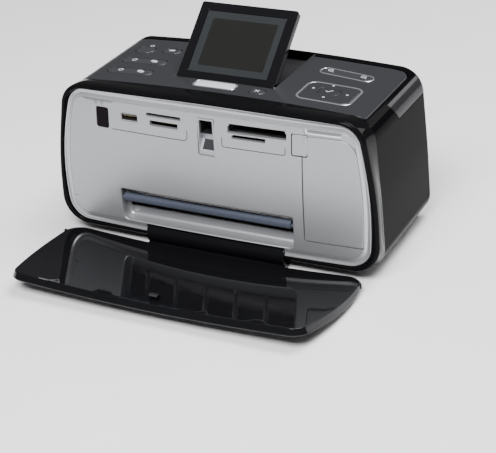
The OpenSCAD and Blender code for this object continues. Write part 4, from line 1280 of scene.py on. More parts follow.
@dataclass
class FrontFace:
    """The gloss frame, bright bevel, silver face, its openings and the cartridge door."""

    plate_thickness: float = 3.0
    recess: tuple[float, float, float, float] = (-70.5, 61.5, 18.5, 42.3)
    recess_radius: float = 4.2
    recess_back: float = -47.0
    recess_round: float = 3.2
    slot: tuple[float, float] = (25.6, 41.3)
    door_back: float = -50.6
    notch: tuple[float, float, float, float, float] = (67.7, 95, 11.6, 15.6, 1.2)
    pull: tuple[float, float, float, float, float] = (67.7, 95, 10.4, 14.4, 1.0)
    door_gap: float = 0.5
    flare: tuple[tuple[float, float], ...] = (
        (-38, 0), (-39, 0.07), (-40.6, 0.2), (-42.6, 0.42), (-44.8, 0.64), (-47.4, 0.85),
        (-49.9, 0.96), (-52.2, 1),
    )
    nose_reach: float = 4.0
    nose_inset: float = 2.4
    socket: tuple[float, float] = (-59.2, 97.3)
    window: tuple[float, float] = (-81.1, 94.2)
    pocket: tuple[float, float] = (0, 91.6)
    door_edge: Outline = Outline(
        ((69.8, 26.2), (110.8, 26.2), (113, 61), (105.3, 101.6), (69.8, 101.6)),
        (1.2, 1.4, 235, 12, 1.2),
    )
    wide_slot: tuple[tuple[float, float], ...] = (
        (16.2, 97.3), (58.6, 97.3), (58.6, 101.4), (57.7, 102.2), (57.7, 103.5), (17.2, 103.5),
        (17.2, 102.2), (16.2, 101.4),
    )
    thin_slot: tuple[tuple[float, float], ...] = (
        (-45.6, 100.5), (-19, 100.5), (-19, 101.9), (-19.6, 102.7), (-45, 102.7), (-45.6, 101.9),
    )
    low_slot: tuple[tuple[float, float], ...] = (
        (19.2, 93.4), (43.6, 93.4), (43.6, 96.2), (20.4, 96.2), (19.2, 95.2),
    )
    small_slot: tuple[float, float, float, float] = (-43, 94, -21.4, 97.6)
    contacts: BarRow = BarRow("usb_contacts", 4, (-62.9, -48, 98.0), (2.46, 0, 0), (1.1, 11, 0.3))
    small_contacts: BarRow = BarRow(
        "card_contacts_left", 10, (-39.6, -44, 94.7), (1.7, 0, 0), (0.9, 12, 0.4), 0.1
    )
    card_pins: BarRow = BarRow(
        "card_pins_right", 25, (21.6, -24.5, 100.4), (1.27, 0, 0), (0.5, 9, 0.5)
    )
    card_rails: BarRow = BarRow(
        "card_rails_right", 2, (17.3, -36, 99.6), (40.2, 0, 0), (1.0, 28, 1.2), 0.2
    )
    bar_section: tuple[tuple[float, float], ...] = (
        (-56.1, 32.9), (-51.6, 32.5), (-51.6, 38.4), (-56.1, 38.4),
    )
    ramp: tuple[tuple[float, float], ...] = (
        (-70, 78.2), (-57.6, 78.6), (-50.5, 88), (-50.5, 93.4), (-70, 93.4),
    )
    # A grey strip of painted shade on the catch pocket's ramp, just below its hollow, as (y, z).
    painted_shade_band: tuple[tuple[float, float], ...] = (
        (-55.0, 82.2), (-50.6, 88.02), (-50.2, 87.8), (-54.6, 81.9),
    )
    brackets: tuple[tuple[tuple[float, float], ...], ...] = (
        ((-73.5, 87), (-17.4, 87), (-15.6, 87.4), (-14.4, 88.6), (-14.2, 90.4), (-14.2, 94.3)),
        (
            (12, 93.5), (12, 88.4), (12.4, 87.3), (13.5, 86.9), (56.3, 86.9), (57.4, 87.3),
            (57.8, 88.4), (57.8, 92),
        ),
    )

    def build(self) -> None:
        """Builds every piece of the front."""
        self.frame()
        self.bevel()
        self.panel()
        self.exit()
        self.cartridge_door()
        self.window_and_usb()
        self.card_slots()
        self.catch_pocket()
        self.lines()

    def frame(self) -> None:
        """Builds the thick frame that flares from the case to a rounded nose."""
        s = SHAPE
        seam, wide = np.array(s.case(0)), np.array(s.frame.at(0))
        rings = []
        for y, t in self.flare:
            rings.append([(x, y, z) for x, z in (1 - t) * seam + t * wide])
        for a in range(12, 91, 13):
            c, q = math.cos(math.radians(a)), math.sin(math.radians(a))
            y = self.flare[-1][0] - self.nose_reach * q
            loop = s.frame.at(self.nose_inset * (1 - c))
            rings.append([(x, y + self.lean(x, q), z) for x, z in loop])
        near, far = np.array(s.frame.at(self.nose_inset)), np.array(s.face_edge.at(-0.5))
        for y, t in ((-56.05, 0.55), (-55.5, 0.9)):
            rings.append([(x, y + self.lean(x, 1), z) for x, z in (1 - t) * near + t * far])
        rings.append([(x, -54.6 + self.lean(x, 1), z) for x, z in s.face_edge.at(-0.45)])
        rings.append([(x, -45.0, z) for x, z in s.face_edge.at(-0.4)])
        rings.append([(x, -43.0, z) for x, z in s.case(s.wall + 1.5)])
        rings.append([(x, s.y_seam, z) for x, z in s.case(s.wall)])
        frame = loft("front_frame_ring", rings, closed=True)
        bore = prism("bore", circle(*s.tray_hinge, 2.0), Axis.X, s.neck[0] - 5.2, s.neck[1] + 5.2)
        carve(frame, [s.neck_cut(0.4), bore])
        # Painted shade: the frame gets the darker, dimmed copy of the piano black.
        dress(frame, SHADED_FRAME_GLOSS, "case", "black_gloss", "front_frame")

    @staticmethod
    def lean(x: float, share: float) -> float:
        """Returns how far the frame's nose falls back at x, times share."""
        return 0.4 * SHAPE.crown_x * (x / 100) ** 2 * share

    @staticmethod
    def at_depth(loop: Sequence[Sequence[float]], w: float) -> list[Point]:
        """Places a loop at depth w behind the face."""
        return [SHAPE.on_face(x, z, w) for x, z in loop]

    def bevel(self) -> None:
        """Builds the bright bevel round the silver face."""
        s = SHAPE
        rings = [
            [(x, -49.0, z) for x, z in s.plate_edge.at(0.1)],
            [(x, -47.0, z) for x, z in s.face_edge.at(0)],
        ]
        rim = ((0, 0.25), (0.1, -0.08), (0.35, -0.26), (0.7, -0.24), (1.1, -0.05))
        rings += [self.at_depth(s.face_edge.at(inset), w) for inset, w in rim]
        outer, inner = np.array(s.face_edge.at(1.1)), np.array(s.plate_edge.at(-1.3))
        for t in (0.2, 0.4, 0.6, 0.8):
            w = -0.05 + 0.35 * t + 0.5 * math.sin(math.pi * t)
            rings.append(self.at_depth((1 - t) * outer + t * inner, w))
        foot = ((-1.3, 0.3), (-0.6, 0.14), (0.1, 0.04))
        rings += [self.at_depth(s.plate_edge.at(inset), w) for inset, w in foot]
        trim = loft("face_bevel_ring", rings, closed=True)
        carve(trim, [s.neck_cut(0.3)])
        dress(trim, BRIGHT_TRIM, "case", "bright_trim", "face_bevel")

    def notch_cut(self, back: float) -> Piece:
        """Makes the cutter for the finger notch, down to the plane back."""
        return prism("notch", pill(*self.notch), Axis.Y, FACE_AHEAD, back)

    def recess_loop(self, inset: float = 0.0) -> Loop:
        """Returns the paper exit's outline, moved inwards by inset.

        Args:
            inset: How far it moves inwards.

        Returns:
            The outline.
        """
        x0, x1, z0, z1 = self.recess
        radii = [self.recess_radius, self.recess_radius, 1.6, 1.6]
        return rounded(rectangle(x0, z0, x1, z1), radii, inset)

    def panel(self) -> None:
        """Builds the crowned silver face with all its openings."""
        s = SHAPE
        holes = [
            (pill(*self.window, 10, 14.7, 1.6), 0.45),
            (pill(*self.socket, 13.4, 5.7, 0.7), 0.3),
            (rounded(self.thin_slot, [0.3] * 6, 0, 4, 4), 0.3),
            (rounded(rectangle(*self.small_slot), [0.4] * 4, 0, 4, 6), 0.3),
            (pill(*self.pocket, 12.4, 26.4, 0.7), 0.3),
            (rounded(self.wide_slot, [0.5, 0.5, 0.3, 0.3] * 2, 0, 4, 4), 0.35),
            (rounded(self.low_slot, [0.4] * 5, 0, 4, 5), 0.3),
            (self.recess_loop(), 1.0),
        ]
        loops, edges = [loop for loop, _ in holes], [edge for _, edge in holes]
        outer, thick = s.plate_edge.at(0.2), self.plate_thickness
        face = plate("silver_face", outer, s.on_face, thick, loops, 0.35, edges, 5.0)
        door = prism("door_space", self.door_edge.at(-self.door_gap), Axis.Y, FACE_AHEAD, -46)
        low = self.door_edge.corners[0][1] - self.door_gap
        side = block("door_side", (105, FACE_AHEAD, low), (125, -46, 88))
        neck = block(
            "neck", (s.neck[0] - 0.3, FACE_AHEAD, 0), (s.neck[1] + 0.3, -46, s.neck_top + 0.3)
        )
        carve(face, [door, side, self.notch_cut(-46), neck])
        dress(face, SILVER, "case", "silver", "front_panel")

    def exit(self) -> None:
        """Builds the paper exit: its tub, its slot and the bar across it."""
        x0, x1, z0, z1 = self.recess
        round_y = self.recess_back - self.recess_round
        stops = [(-70.0, 0.0), (round_y, 0.0)]
        for turn in (20, 40, 60, 75, 90):
            a = math.radians(turn)
            reach, inset = math.sin(a), 1 - math.cos(a)
            stops.append((round_y + self.recess_round * reach, self.recess_round * inset))
        tub = loft("tub", [[(x, y, z) for x, z in self.recess_loop(d - 0.05)] for y, d in stops])
        low, high = (x0 - 1.5, -54.9, z0 - 1.0), (x1 + 1.5, self.recess_back + 1.5, z1 + 1.5)
        liner = block("paper_exit_tub", low, high)
        gate = block("gate", (x0 + 2, -60, self.slot[0]), (x1 - 2, -40, self.slot[1]))
        carve(liner, [tub, gate])
        dress(liner, SILVER, "case", "silver", "front_panel")
        section = rounded(self.bar_section, [1.6, 0.8, 0.8, 2.0], 0, 6, 3)
        bar = prism("exit_cross_bar", section, Axis.X, x0 + 2.0, x1 - 2.0, 0.3)
        pins = prism("pins", circle(-53.6, 34.6, 1.2, 24), Axis.X, x0, x1)
        dress(joined("exit_cross_bar", [bar, pins]), BAR_BLUE, "case", "bar_blue", "exit_bar")

    def cartridge_door(self) -> None:
        """Builds the cartridge door with its pull, its step and its inner wall."""
        loop = self.door_edge.at()
        leaf = plate("door_leaf", loop, SHAPE.on_face, 2.4, (), 0.5, 0.3, 5.0)
        carve(leaf, [self.notch_cut(-50)])
        walls = ((0.2, 1.8), (0.2, 5.0), (3.0, 5.0), (3.0, 1.8))
        lip = ring("door_wall", loop, self.on_door, walls)
        carve(lip, [self.notch_cut(-49)])
        pull = plate(
            "door_pull", pill(*self.pull), raised(SHAPE.on_face, 0.1), 2.6, (), 0.55, 0.3, 3.0
        )
        grip = block("pull_step", (70.3, -54.4, 89.2), (73.6, -51.2, 101.0), 0.6)
        door = joined("cartridge_door_leaf", [leaf, lip, pull, grip])
        dress(door, SILVER, "cartridge_door", "silver", "cartridge_door")

    def on_door(self, x: float, z: float, w: float) -> Point:
        """Places a point of the door's inner wall: deep points lie in its back plane."""
        return (x, self.door_back if w > 3 else SHAPE.on_face(x, z, w)[1], z)

    def window_and_usb(self) -> None:
        """Builds the infrared window and the socket in the face."""
        window = plate(
            "infrared_window", pill(*self.window, 9.8, 14.5, 1.6), raised(SHAPE.on_face, -0.3), 1.8,
            (), 0.3, 0.3, 2.5,
        )
        dress(window, SMOKE, "case", "smoke_window", "ir_window")
        can = prism("usb_can", pill(*self.socket, 13.2, 5.5, 0.6), Axis.Y, -54.3, -37, 0.15)
        carve(can, [prism("hole", pill(*self.socket, 12.4, 4.7, 0.4), Axis.Y, -70, -38)])
        dress(can, PLATED, "case", "steel", "usb_host_port")
        tongue = block("usb_tongue", (-64.8, -53.8, 98.1), (-53.6, -38, 99.3), 0.2)
        dress(tongue, INNER_BLACK, "case", "black_inner", "usb_host_port")
        self.contacts.build(GILT, "case", "brass")

    def card_slots(self) -> None:
        """Adds contacts and guide rails inside the card slots."""
        self.small_contacts.build(GILT, "case", "brass")
        self.card_pins.build(GILT, "case", "brass")
        self.card_rails.build(INNER_BLACK, "case", "black_inner")
        strip = block("card_board_right", (20, -50.2, 93.7), (43, -30, 94.1), 0.1)
        dress(strip, BOARD, "case", "pcb")

    def catch_pocket(self) -> None:
        """Builds the pocket for the tray's catch, with its ramp, dark hollow and a grey strip of
        painted shade on the ramp.
        """
        body = prism("catch_pocket_body", pill(*self.pocket, 12.1, 26.1, 0.6), Axis.Y, -55.5, -42)
        hollow = block("hollow", (-5, -70, 93.2), (5, -43.4, 103.6))
        carve(body, [hollow, prism("ramp", self.ramp, Axis.X, -5.4, 5.4)])
        dress(body, SILVER, "case", "silver", "tray_latch_pocket")
        hollow = block("catch_hollow", (-4.98, -53.6, 93.22), (4.98, -43.42, 103.58))
        carve(hollow, [block("space", (-4.6, -60, 93.6), (4.6, -43.8, 103.2))])
        dress(hollow, SLOT_BLACK, "case", "slot_black", "tray_latch_pocket")
        # Painted shade: a thin dark grey strip on the ramp, below the hollow.
        shade_band_strip = prism("catch_painted_shade_band", self.painted_shade_band, Axis.X, -3.6, 5.3, 0.05)
        dress(shade_band_strip, KEY_GREY, "case", "key_grey")

    def lines(self) -> None:
        """Prints the thin bracket lines below the card slots."""
        place = raised(SHAPE.on_face, 0.05)
        loops = [ribbon(fine(path, 3.0), 0.55) for path in self.brackets]
        parts = [plate("line", loop, place, 0.15, (), 0.01, 0.3, 3.0) for loop in loops]
        dress(joined("slot_bracket_lines", parts), INNER_BLACK, "case", "black_inner", even=False)


def fine(path: Path, step: float) -> Loop:
    """Adds points to a path so that none are farther apart than step.

    Args:
        path: The path's points.
        step: The greatest distance.

    Returns:
        The finer path.
    """
    out = [path[0]]
    for a, b in zip(path, path[1:]):
        n = max(1, math.ceil(math.dist(a, b) / step))
        du, dv = b[0] - a[0], b[1] - a[1]
        out += [(a[0] + du * k / n, a[1] + dv * k / n) for k in range(1, n + 1)]
    return out


# ---- Output tray --------------------------------------------------------------


@dataclass
class OutputTray:
    """The output tray, drawn shut over the face and turned open about its hinge."""

    gap: float = 0.8
    thin: float = 2.9
    thick: float = 5.4
    axis: tuple[float, float] = SHAPE.tray_hinge
    angle: float = 84.7
    barrel: float = 7.6
    low: float = 16.0
    swell: float = 40.0
    edge_profile: tuple[tuple[float, float, float], ...] = (
        (1.1, 0.0, 0.0), (0.62, 0.05, 0.0), (0.28, 0.2, 0.0), (0.08, 0.45, 0.0), (0.0, 0.75, 0.0),
        (-1.1, -1.5, 1.0), (-1.38, -0.85, 1.0), (-1.3, -0.4, 1.0), (-1.0, -0.12, 1.0),
        (-0.5, 0.0, 1.0),
    )
    web: tuple[tuple[float, float], ...] = (
        (-59.6, 6), (-56.6, 7.4), (-54.6, 9.7), (-55.4, 12), (-57.2, 14.2), (-58.2, 16.4),
        (-58.0, 18), (-60, 18), (-60.2, 12),
    )
    hook: tuple[tuple[float, float], ...] = (
        (-58.4, 98), (-52.2, 98), (-51.5, 98.7), (-51.5, 101.5), (-53.4, 101.5), (-53.4, 100),
        (-58.4, 100),
    )

    def turned(self, p: Sequence[float]) -> Point:
        """Turns a point of the shut tray to where it is when the tray is open.

        Args:
            p: The point, in millimetres.

        Returns:
            The turned point.
        """
        c, q = math.cos(math.radians(self.angle)), math.sin(math.radians(self.angle))
        y, z = p[1] - self.axis[0], p[2] - self.axis[1]
        return (p[0], self.axis[0] + c * y - q * z, self.axis[1] + q * y + c * z)

    def section(self, path: Path) -> Loop:
        """Turns a section (y, z) of the shut tray to the open one."""
        return [self.turned((0, y, z))[1:] for y, z in path]

    def place(self, x: float, z: float, w: float) -> Point:
        """Places a point at depth w outwards from the tray's inner face.

        Args:
            x: Its place across the tray.
            z: Its height on the shut tray.
            w: Its distance from the inner face.

        Returns:
            The point on the open tray.
        """
        s = SHAPE
        z = max(z, self.low)
        return self.turned((x, s.face_y - self.gap - w + s.crown(x, z), z))

    def depth(self, _x: float, z: float) -> float:
        """Returns the tray's thickness at a point."""
        t = max(0.0, min(1.0, (z - self.low) / self.swell))
        return self.thin + (self.thick - self.thin) * t * t * (3 - 2 * t)

    def build(self) -> None:
        """Builds the leaf, its hinge neck and the catch."""
        s = SHAPE
        edge, flare = s.tray_edge.at(), self.edge_profile
        leaf = plate("leaf", edge, self.place, self.depth, (), 0.4, 0.3, 5.0, flare)
        y, z = self.axis
        drum = prism("drum", circle(y, z, self.barrel, 72), Axis.X, s.neck[0], s.neck[1], 0.5)
        loop = self.section(self.web)
        neck = prism("neck", loop, Axis.X, s.neck[0], s.neck[1], 0.4)
        tray = joined("output_tray_leaf", [leaf, drum, neck])
        dress(tray, TRAY_GLOSS, "output_tray", "black_gloss", "output_tray")
        catch = prism("tray_catch", self.section(self.hook), Axis.X, -3.2, 3.2, 0.3)
        dress(catch, TRAY_GLOSS, "output_tray", "black_gloss", "tray_hook")


# ---- Deck and keys ------------------------------------------------------------


@dataclass(frozen=True)
class Key:
    """A key's place on the deck and its finish."""

    node: str
    piece: str
    spot: tuple[float, float, float, float, float, float]
    finish: Finish
    slot: str = "key_grey"
    rim: float = 0.7
    crown: float = 0.3

    def outline(self, gap: float = 0.0) -> Loop:
        """Returns the key's outline on the deck, larger by gap."""
        x, y, length, width, r, turn = self.spot
        return pill(x, y, length + 2 * gap, width + 2 * gap, r + gap, turn)


PAD = Key("nav_pad", "four_way_pad", (71.4, -11.6, 36.4, 27, 5, 0), DECK_GREY, rim=1.7, crown=0.45)
KEYS = (
    Key(
        "print_button", "print_key", (-6.5, -25.8, 29.4, 8.8, 2.6, 0), KEY_WHITE, "key_white", 1.1,
        0.35,
    ),
    Key("cancel_button", "cancel_key", (25.8, -27.4, 10.6, 7, 2.6, 0), KEY_GREY),
    Key("power_button", "power_key", (-87.4, 22.6, 14.6, 10.6, 5.2, 8), KEY_GREY),
    Key("preview_button", "preview_key", (-66.4, 24.2, 13.6, 8.6, 3.4, 4), KEY_GREY),
    Key("upper_rocker", "upper_rocker_key", (-76.4, 1.5, 34.4, 8.8, 3.6, 0), KEY_GREY),
    Key("lower_rocker", "lower_rocker_key", (-76.9, -18.4, 34.8, 8.8, 3.6, 0), KEY_GREY),
    Key("zoom_rocker", "zoom_rocker_key", (70, 22.4, 37.4, 8.4, 3.6, -5), KEY_GREY, rim=1.1),
    PAD,
)
OK_KEY = Key("ok_button", "ok_key", (70.8, -10.6, 14.6, 9, 2.4, 0), DECK_GREY, rim=0.0)


@dataclass
class ControlDeck:
    """The deck with its keys, their rims and their marks."""

    gap: float = 0.35
    thickness: float = 2.2
    half: float = 106.9
    front: float = -37.6
    back: float = 44.6
    well: tuple[float, float, float, float] = (-41.3, 34.3, -19.2, 48.5)
    proud: float = 0.6
    well_ribs: BarRow = BarRow(
        "well_ribs", 7, (-33.5, 15, 110.5), (10, 0, 0), (1.2, 50, 0.5), 0.15
    )
    cap_depth: float = 3.0
    pad_depth: float = 1.8
    sign_lift: float = 0.72

    def build(self) -> None:
        """Builds the deck, the well, the keys and their marks."""
        self.deck()
        self.well_liner()
        for key in KEYS:
            self.cap(key, SHAPE.top(key.spot[0]) + self.proud)
            self.rim(key)
        self.cap(OK_KEY, SHAPE.top(OK_KEY.spot[0]) + self.proud + 0.2)
        self.marks()

    def deck(self) -> None:
        """Builds the deck's skin with its openings."""
        x0, x1, y0, y1 = self.well
        middle, length = (self.front + self.back) / 2, self.back - self.front
        plan = pill(0, middle, 2 * self.half, length, 5, 0, 10, 30)
        holes = [key.outline(self.gap) for key in KEYS]
        deck = plate("deck_skin", plan, SHAPE.on_deck, self.thickness, holes, 0.45, 0.35, 4.0)
        low, high = (x0 - 0.2, y0 - 0.2, 100), (x1 + 0.2, y1 + 4, OVER_DECK)
        carve(deck, [block("well_space", low, high)])
        dress(deck, DECK_GREY, "case", "deck_grey", "control_deck")

    def well_liner(self) -> None:
        """Builds the dark well that the screen folds into."""
        x0, x1, y0, y1 = self.well
        tub = block("screen_well_tub", (x0 - 1.1, y0 - 1.1, 109.0), (x1 + 1.1, 49.4, 116.4))
        space = block("space", (x0, y0, 110.4), (x1, y1 + 6, OVER_DECK))
        pins = circle(*SHAPE.screen_hinge, SHAPE.pin_bore, 24)
        bore = prism("bore", pins, Axis.X, x0 - 2, x1 + 2)
        carve(tub, [space, bore])
        dress(tub, INNER_BLACK, "case", "black_inner", "screen_well")
        self.well_ribs.build(INNER_BLACK, "case", "black_inner")

    def cap(self, key: Key, top: float) -> None:
        """Builds a key's crowned cap.

        Args:
            key: The key.
            top: The height of the cap's rim.
        """
        x, y, length, width, _, turn = key.spot
        c, q = math.cos(math.radians(-turn)), math.sin(math.radians(-turn))
        tilt = SHAPE.top(x + 1) - SHAPE.top(x - 1)

        def place(u: float, v: float, w: float) -> Point:
            """Places a point of the cap, higher towards its middle.

            Args:
                u: Its place across the deck.
                v: Its place along the deck.
                w: Its depth below the cap's top.

            Returns:
                The point.
            """
            a, b = c * (u - x) - q * (v - y), q * (u - x) + c * (v - y)
            reach = (2 * a / length) ** 2 + (2 * b / width) ** 2
            dome = key.crown * max(0.0, 1 - 0.6 * reach) if w < 2 else 0.0
            return (u, v, top - 0.35 + tilt * (u - x) / 2 + dome - w)

        holes = [OK_KEY.outline(self.gap)] if key is PAD else []
        depth = self.pad_depth if key is PAD else self.cap_depth
        cap = plate(key.piece, key.outline(), place, depth, holes, 0.75, 0.5, 2.0)
        dress(cap, key.finish, key.node, key.slot, key.node)

    def rim(self, key: Key) -> None:
        """Builds the polished lip round a key.

        Args:
            key: The key.
        """
        loop = key.outline(self.gap)
        w = key.rim
        profile = [
            (-w, 0.05), (-w * 0.8, -0.16), (-w * 0.5, -0.3), (-w * 0.2, -0.26), (0.0, -0.06),
            (0.04, 0.5), (0.04, 1.6), (-w, 1.6),
        ]
        lip = ring(f"{key.piece}_lip", loop, SHAPE.on_deck, profile)
        finish, slot = (RIM_SILVER, "bright_trim") if w > 0.9 else (DECK_GREY, "deck_grey")
        dress(lip, finish, "case", slot)

    @staticmethod
    def mark(name: str, body: str, loops: Sequence[Loop], lift: float = 0.0) -> None:
        """Prints thin marks on the deck or on a key.

        Args:
            name: The piece's name.
            body: The body that the marks ride on.
            loops: Their outlines.
            lift: How high they stand above the deck's surface.
        """
        place = raised(SHAPE.on_deck, lift)
        parts = [plate("mark", loop, place, 0.12, (), 0.01, 0.01, 3.0) for loop in loops]
        dress(joined(name, parts), MARK_WHITE, body, "key_white", even=False)

    def marks(self) -> None:
        """Prints the signs of the keys: power, arrows, lenses and dots."""
        open_ring = arc(-86.5, 31.2, 1.5, 120, 420, 18)
        power = [ribbon(open_ring, 0.5), ribbon([(-86.5, 31.4), (-86.5, 33.2)], 0.5)]
        self.mark("power_sign", "case", power, 0.05)
        for y, name in ((1.5, "upper_rocker"), (-18.4, "lower_rocker")):
            signs = [
                ribbon(arc(-84.5, y, 1.7, 30, 330, 18), 0.6),
                [(-82.4, y + 0.2), (-83.6, y + 1.7), (-83.9, y - 0.3)],
                pill(-69.4, y + 0.5, 3.8, 2.9, 0.4),
                pill(-67.6, y - 0.8, 3.6, 2.7, 0.4),
            ]
            self.mark(f"{name}_signs", name, signs, self.sign_lift)
        dash = pill(-66.4, 24.2, 4.6, 2.4, 0.8, 4)
        self.mark("preview_sign", "preview_button", [dash], self.sign_lift)
        strokes = ([(24.3, -28.9), (27.3, -25.9)], [(24.3, -25.9), (27.3, -28.9)])
        cross = [ribbon(stroke, 0.6) for stroke in strokes]
        self.mark("cancel_sign", "cancel_button", cross, self.sign_lift)
        for x, name in ((57.6, "small"), (82.6, "large")):
            y = 22.4 - (x - 70) * math.tan(math.radians(5))
            lens = [
                ribbon(arc(x, y + 0.4, 1.7, 0, 360, 24), 0.55),
                ribbon([(x + 1.2, y - 0.8), (x + 2.6, y - 2.2)], 0.7),
                ribbon([(x - 0.9, y + 0.4), (x + 0.9, y + 0.4)], 0.4),
            ]
            self.mark(f"zoom_lens_{name}", "zoom_rocker", lens, self.sign_lift)
        spots = ((58.9, -9.2), (69.9, -0.6), (84.2, -11.5), (70.9, -20.7))
        dots = [circle(*spot, 0.95, 20) for spot in spots]
        self.mark("pad_dots", "nav_pad", dots, self.proud + 0.2)
        tick = ribbon([(68.6, -10.8), (70.2, -12.2), (73.2, -8.8)], 0.7)
        self.mark("ok_tick", "ok_button", [tick], self.proud + 0.42)


# ---- Screen -------------------------------------------------------------------


@dataclass
class TiltingScreen:
    """The raised screen: housing, bezel, cover and picture panel."""

    middle: float = -3.5
    width: float = 73.8
    length: float = 59.3
    thickness: float = 6.0
    tilt: float = 40.0
    axis: tuple[float, float] = SHAPE.screen_hinge
    corner_radii: tuple[float, ...] = (0.8, 0.8, 1.6, 1.6)
    window: tuple[float, float, float] = (60.0, 48.0, 4.4)
    picture: tuple[float, float, float, float] = (49.6, 37.2, 9.6, 0.5)

    def place(self, u: float, v: float, w: float) -> Point:
        """Places a point: u across, v up the screen, w out of its face."""
        c, q = math.cos(math.radians(self.tilt)), math.sin(math.radians(self.tilt))
        return (self.middle + u, self.axis[0] + c * v - q * w, self.axis[1] + q * v + c * w)

    def behind(self, depth: float) -> Place:
        """Returns a way to place points behind the screen's face.

        Args:
            depth: How far behind the face the depth 0 lies.

        Returns:
            The way.
        """
        face = self.thickness / 2

        def place(u: float, v: float, w: float) -> Point:
            """Places a point w deeper than depth."""
            return self.place(u, v, face - depth - w)

        return place

    def box(self, low: Sequence[float], high: Sequence[float], name: str) -> Piece:
        """Makes a box in the screen's own axes.

        Args:
            low: Its lower corner.
            high: Its upper corner.
            name: Its name.

        Returns:
            The box.
        """
        loop = rounded(rectangle(low[0], low[1], high[0], high[1]), [0.3] * 4, 0, 3, 1)
        rings = [[self.place(u, v, w) for u, v in loop] for w in (low[2], high[2])]
        return loft(name, rings)

    def bore(self) -> Piece:
        """Makes the cutter for the hinge pins' bore."""
        return prism("bore", circle(*self.axis, SHAPE.pin_bore, 24), Axis.X, -60, 60)

    def slab(self, low: float) -> Loop:
        """Returns the screen's outline from low to its top."""
        half = self.width / 2
        return rounded(rectangle(-half, low, half, self.length), self.corner_radii, 0, 6, 6)

    def opening(self, radius: float, inset: float) -> Loop:
        """Returns the window's outline, its corners rounded and moved inwards by inset.

        Args:
            radius: The corners' radius.
            inset: How far it moves inwards.

        Returns:
            The outline.
        """
        across, up, low = self.window
        corners = rectangle(-across / 2, low, across / 2, low + up)
        return rounded(corners, [radius] * 4, inset, 5, 6)

    def build(self) -> None:
        """Builds every piece of the screen."""
        self.housing()
        self.bezel()
        self.cover()

    def housing(self) -> None:
        """Builds the hollow housing with its hinge drum."""
        half, drum_r = self.width / 2, self.thickness / 2 - 0.02
        outline = self.slab(0)
        stops = [(1.4, 1.0), (0.0, 1.0), (0.0, -1.9), (0.12, -2.35), (0.4, -2.75), (0.9, -3.0)]
        rings = [[self.place(u, v, w) for u, v in shifted(outline, d)] for d, w in stops]
        back = loft("screen_housing", rings)
        hollow = self.box((-half + 1.6, 4.2, -1.6), (half - 1.6, self.length - 1.6, 4), "hollow")
        carve(back, [hollow, self.bore()])
        left, right = self.middle - half, self.middle + half
        drum = prism("drum", circle(*self.axis, drum_r, 40), Axis.X, left, right, 0.3)
        carve(drum, [self.bore()])
        screen = joined("screen_housing", [back, drum])
        dress(screen, BLACK_GLOSS, "screen", "black_gloss", "screen_back")

    def bezel(self) -> None:
        """Builds the gloss bezel round the screen's window."""
        holes = [self.opening(0.9, -0.2)]
        place = self.behind(0.0)
        bezel = plate("screen_front_bezel", self.slab(0.2), place, 1.95, holes, 0.6, 0.5, 8.0)
        dress(bezel, BLACK_GLOSS, "screen", "black_gloss", "screen_bezel")

    def cover(self) -> None:
        """Builds the grey cover and the picture panel behind its opening."""
        across, up, low, middle = self.picture
        look = rectangle(middle - across / 2, low, middle + across / 2, low + up)
        hole = rounded(look, [0.4] * 4, 0, 4, 6)
        outline, place = self.opening(0.8, 0.0), self.behind(0.3)
        mask = plate("screen_cover_mask", outline, place, 1.0, [hole], 0.15, 0.1, 8.0)
        dress(mask, SCREEN_COVER, "screen", "screen_cover", "screen_glass")
        outline, place = rounded(look, [0.4] * 4, 0.05, 4, 6), self.behind(0.42)
        panel = plate("picture_pane", outline, place, 2.4, (), 0.05, 0.1, 8.0)
        dress(panel, PICTURE_PANEL, "screen", "lcd", "lcd_panel")


# ---- Inside -------------------------------------------------------------------


INSIDE: dict[str, Finish] = {
    "card_slots_left": SLOT_BLACK, "card_slots_right": SLOT_BLACK, "tray_hinge_rod": STEEL,
    "door_hinge_rod": STEEL, "screen_pins": STEEL, "nav_pivot": NYLON, "key_board": BOARD,
    "engine_frame": PLATED, "platen": INNER_BLACK, "carriage_rod": STEEL, "carriage": INNER_BLACK,
    "ink_cartridge": KEY_GREY, "drive_belt": RUBBER, "idle_pulley": NYLON, "carriage_motor": PLATED,
    "motor_pulley": NYLON, "feed_roller": ROLLER, "feed_gear": NYLON, "idler_gear": NYLON,
    "exit_roller": ROLLER, "star_wheels": NYLON, "feed_motor": PLATED, "motor_gear": BRASS,
    "pinch_rollers": ROLLER, "pick_roller": ROLLER, "main_board": BOARD, "reader_board": BOARD,
    "case_screws": STEEL,
}


def finish_inside(frame: dict) -> None:
    """Gives the kept CAD nodes their finishes and smooth round faces.
    """
    for node, finish in INSIDE.items():
        obj = frame["nodes"][node]
        obj.data.materials.clear()
        obj.data.materials.append(finish.material())
        obj.data.shade_smooth()
        weld = obj.modifiers.new("weld", "WELD")
        weld.merge_threshold = WELD
        split = obj.modifiers.new("split", "EDGE_SPLIT")
        split.split_angle = SMOOTH_ANGLE
        LOG.info("%s: finished with %s", node, finish.name)


# ---- Studio -------------------------------------------------------------------


@dataclass(frozen=True)
class SoftBox:
    """A soft box: where it hangs, what it faces, its size and its power in watts."""

    name: str
    spot: Point
    aim: Point
    size: tuple[float, float]
    power: float

    def hang(self) -> None:
        """Hangs the box in the scene."""
        data = bpy.data.lights.new(self.name, "AREA")
        data.shape = "RECTANGLE"
        data.size, data.size_y = self.size[0] * MM, self.size[1] * MM
        data.energy = self.power
        lamp = bpy.data.objects.new(self.name, data)
        spot, aim = Vector(self.spot), Vector(self.aim)
        lamp.location = spot * MM
        lamp.rotation_euler = (aim - spot).to_track_quat("-Z", "Y").to_euler()
        bpy.context.scene.collection.objects.link(lamp)


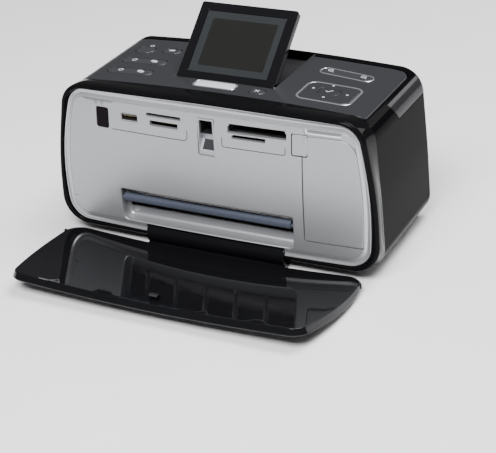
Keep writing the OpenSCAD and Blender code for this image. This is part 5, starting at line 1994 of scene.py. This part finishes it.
@dataclass
class Studio:
    """The pale floor, the soft light and the camera."""

    target: tuple[float, float, float] = (-2.857, 3.465, -5.276)
    distance: float = 1091.8
    azimuth: float = 27.216
    elevation: float = 27.456
    roll: float = -3.347
    lens: float = 108.63
    floor_half: float = 6000
    world_strength: float = 0.12
    sensor: float = 36
    clip: tuple[float, float] = (0.05, 50)
    boxes: tuple[SoftBox, ...] = (
        SoftBox("key_box", (150, -1100, 1400), (0, -20, 20), (900, 700), 56),
        SoftBox("top_box", (560, 420, 1800), (0, 0, 0), (1100, 1000), 44),
        SoftBox("back_panel", (1300, 1700, 1000), (60, 0, 100), (1000, 900), 12),
    )

    def build(self) -> None:
        """Builds the studio."""
        self.floor()
        self.light()
        self.camera()

    def floor(self) -> None:
        """Lays the pale floor."""
        half = self.floor_half
        corners = [(x, y, 0) for x, y in rectangle(-half, -half, half, half)]
        floor = new_object("studio_floor", corners, [[0, 1, 2, 3]])
        floor.data.materials.append(FLOOR.material())

    def light(self) -> None:
        """Lights the scene softly from all round."""
        world = bpy.data.worlds.new("studio")
        world.use_nodes = True
        back = world.node_tree.nodes["Background"]
        back.inputs["Color"].default_value = (1, 1, 1, 1)
        back.inputs["Strength"].default_value = self.world_strength
        bpy.context.scene.world = world
        for box in self.boxes:
            box.hang()

    def camera(self) -> None:
        """Sets the camera at the photograph's own view."""
        az, el, roll = (math.radians(v) for v in (self.azimuth, self.elevation, self.roll))
        back = Vector((math.sin(az) * math.cos(el), -math.cos(az) * math.cos(el), math.sin(el)))
        right = Vector((math.cos(az), math.sin(az), 0))
        up = back.cross(right)
        right2 = math.cos(roll) * right + math.sin(roll) * up
        up2 = -math.sin(roll) * right + math.cos(roll) * up
        data = bpy.data.cameras.new("photo_view")
        data.lens, data.sensor_width, data.sensor_fit = self.lens, self.sensor, "HORIZONTAL"
        data.clip_start, data.clip_end = self.clip
        cam = bpy.data.objects.new("photo_view", data)
        place = Matrix((right2, up2, back)).transposed().to_4x4()
        place.translation = (Vector(self.target) + back * self.distance) * MM
        cam.matrix_world = place
        bpy.context.scene.collection.objects.link(cam)
        bpy.context.scene.camera = cam


def main() -> None:
    """Builds the printer's looks round the frame."""
    logging.basicConfig(level=logging.INFO, format="%(name)s: %(message)s")
    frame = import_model()
    printer = (CaseBody(), FrontFace(), OutputTray(), ControlDeck(), TiltingScreen(), Studio())
    for assembly in printer:
        assembly.build()
    finish_inside(frame)


if __name__ == "__main__":
    main()
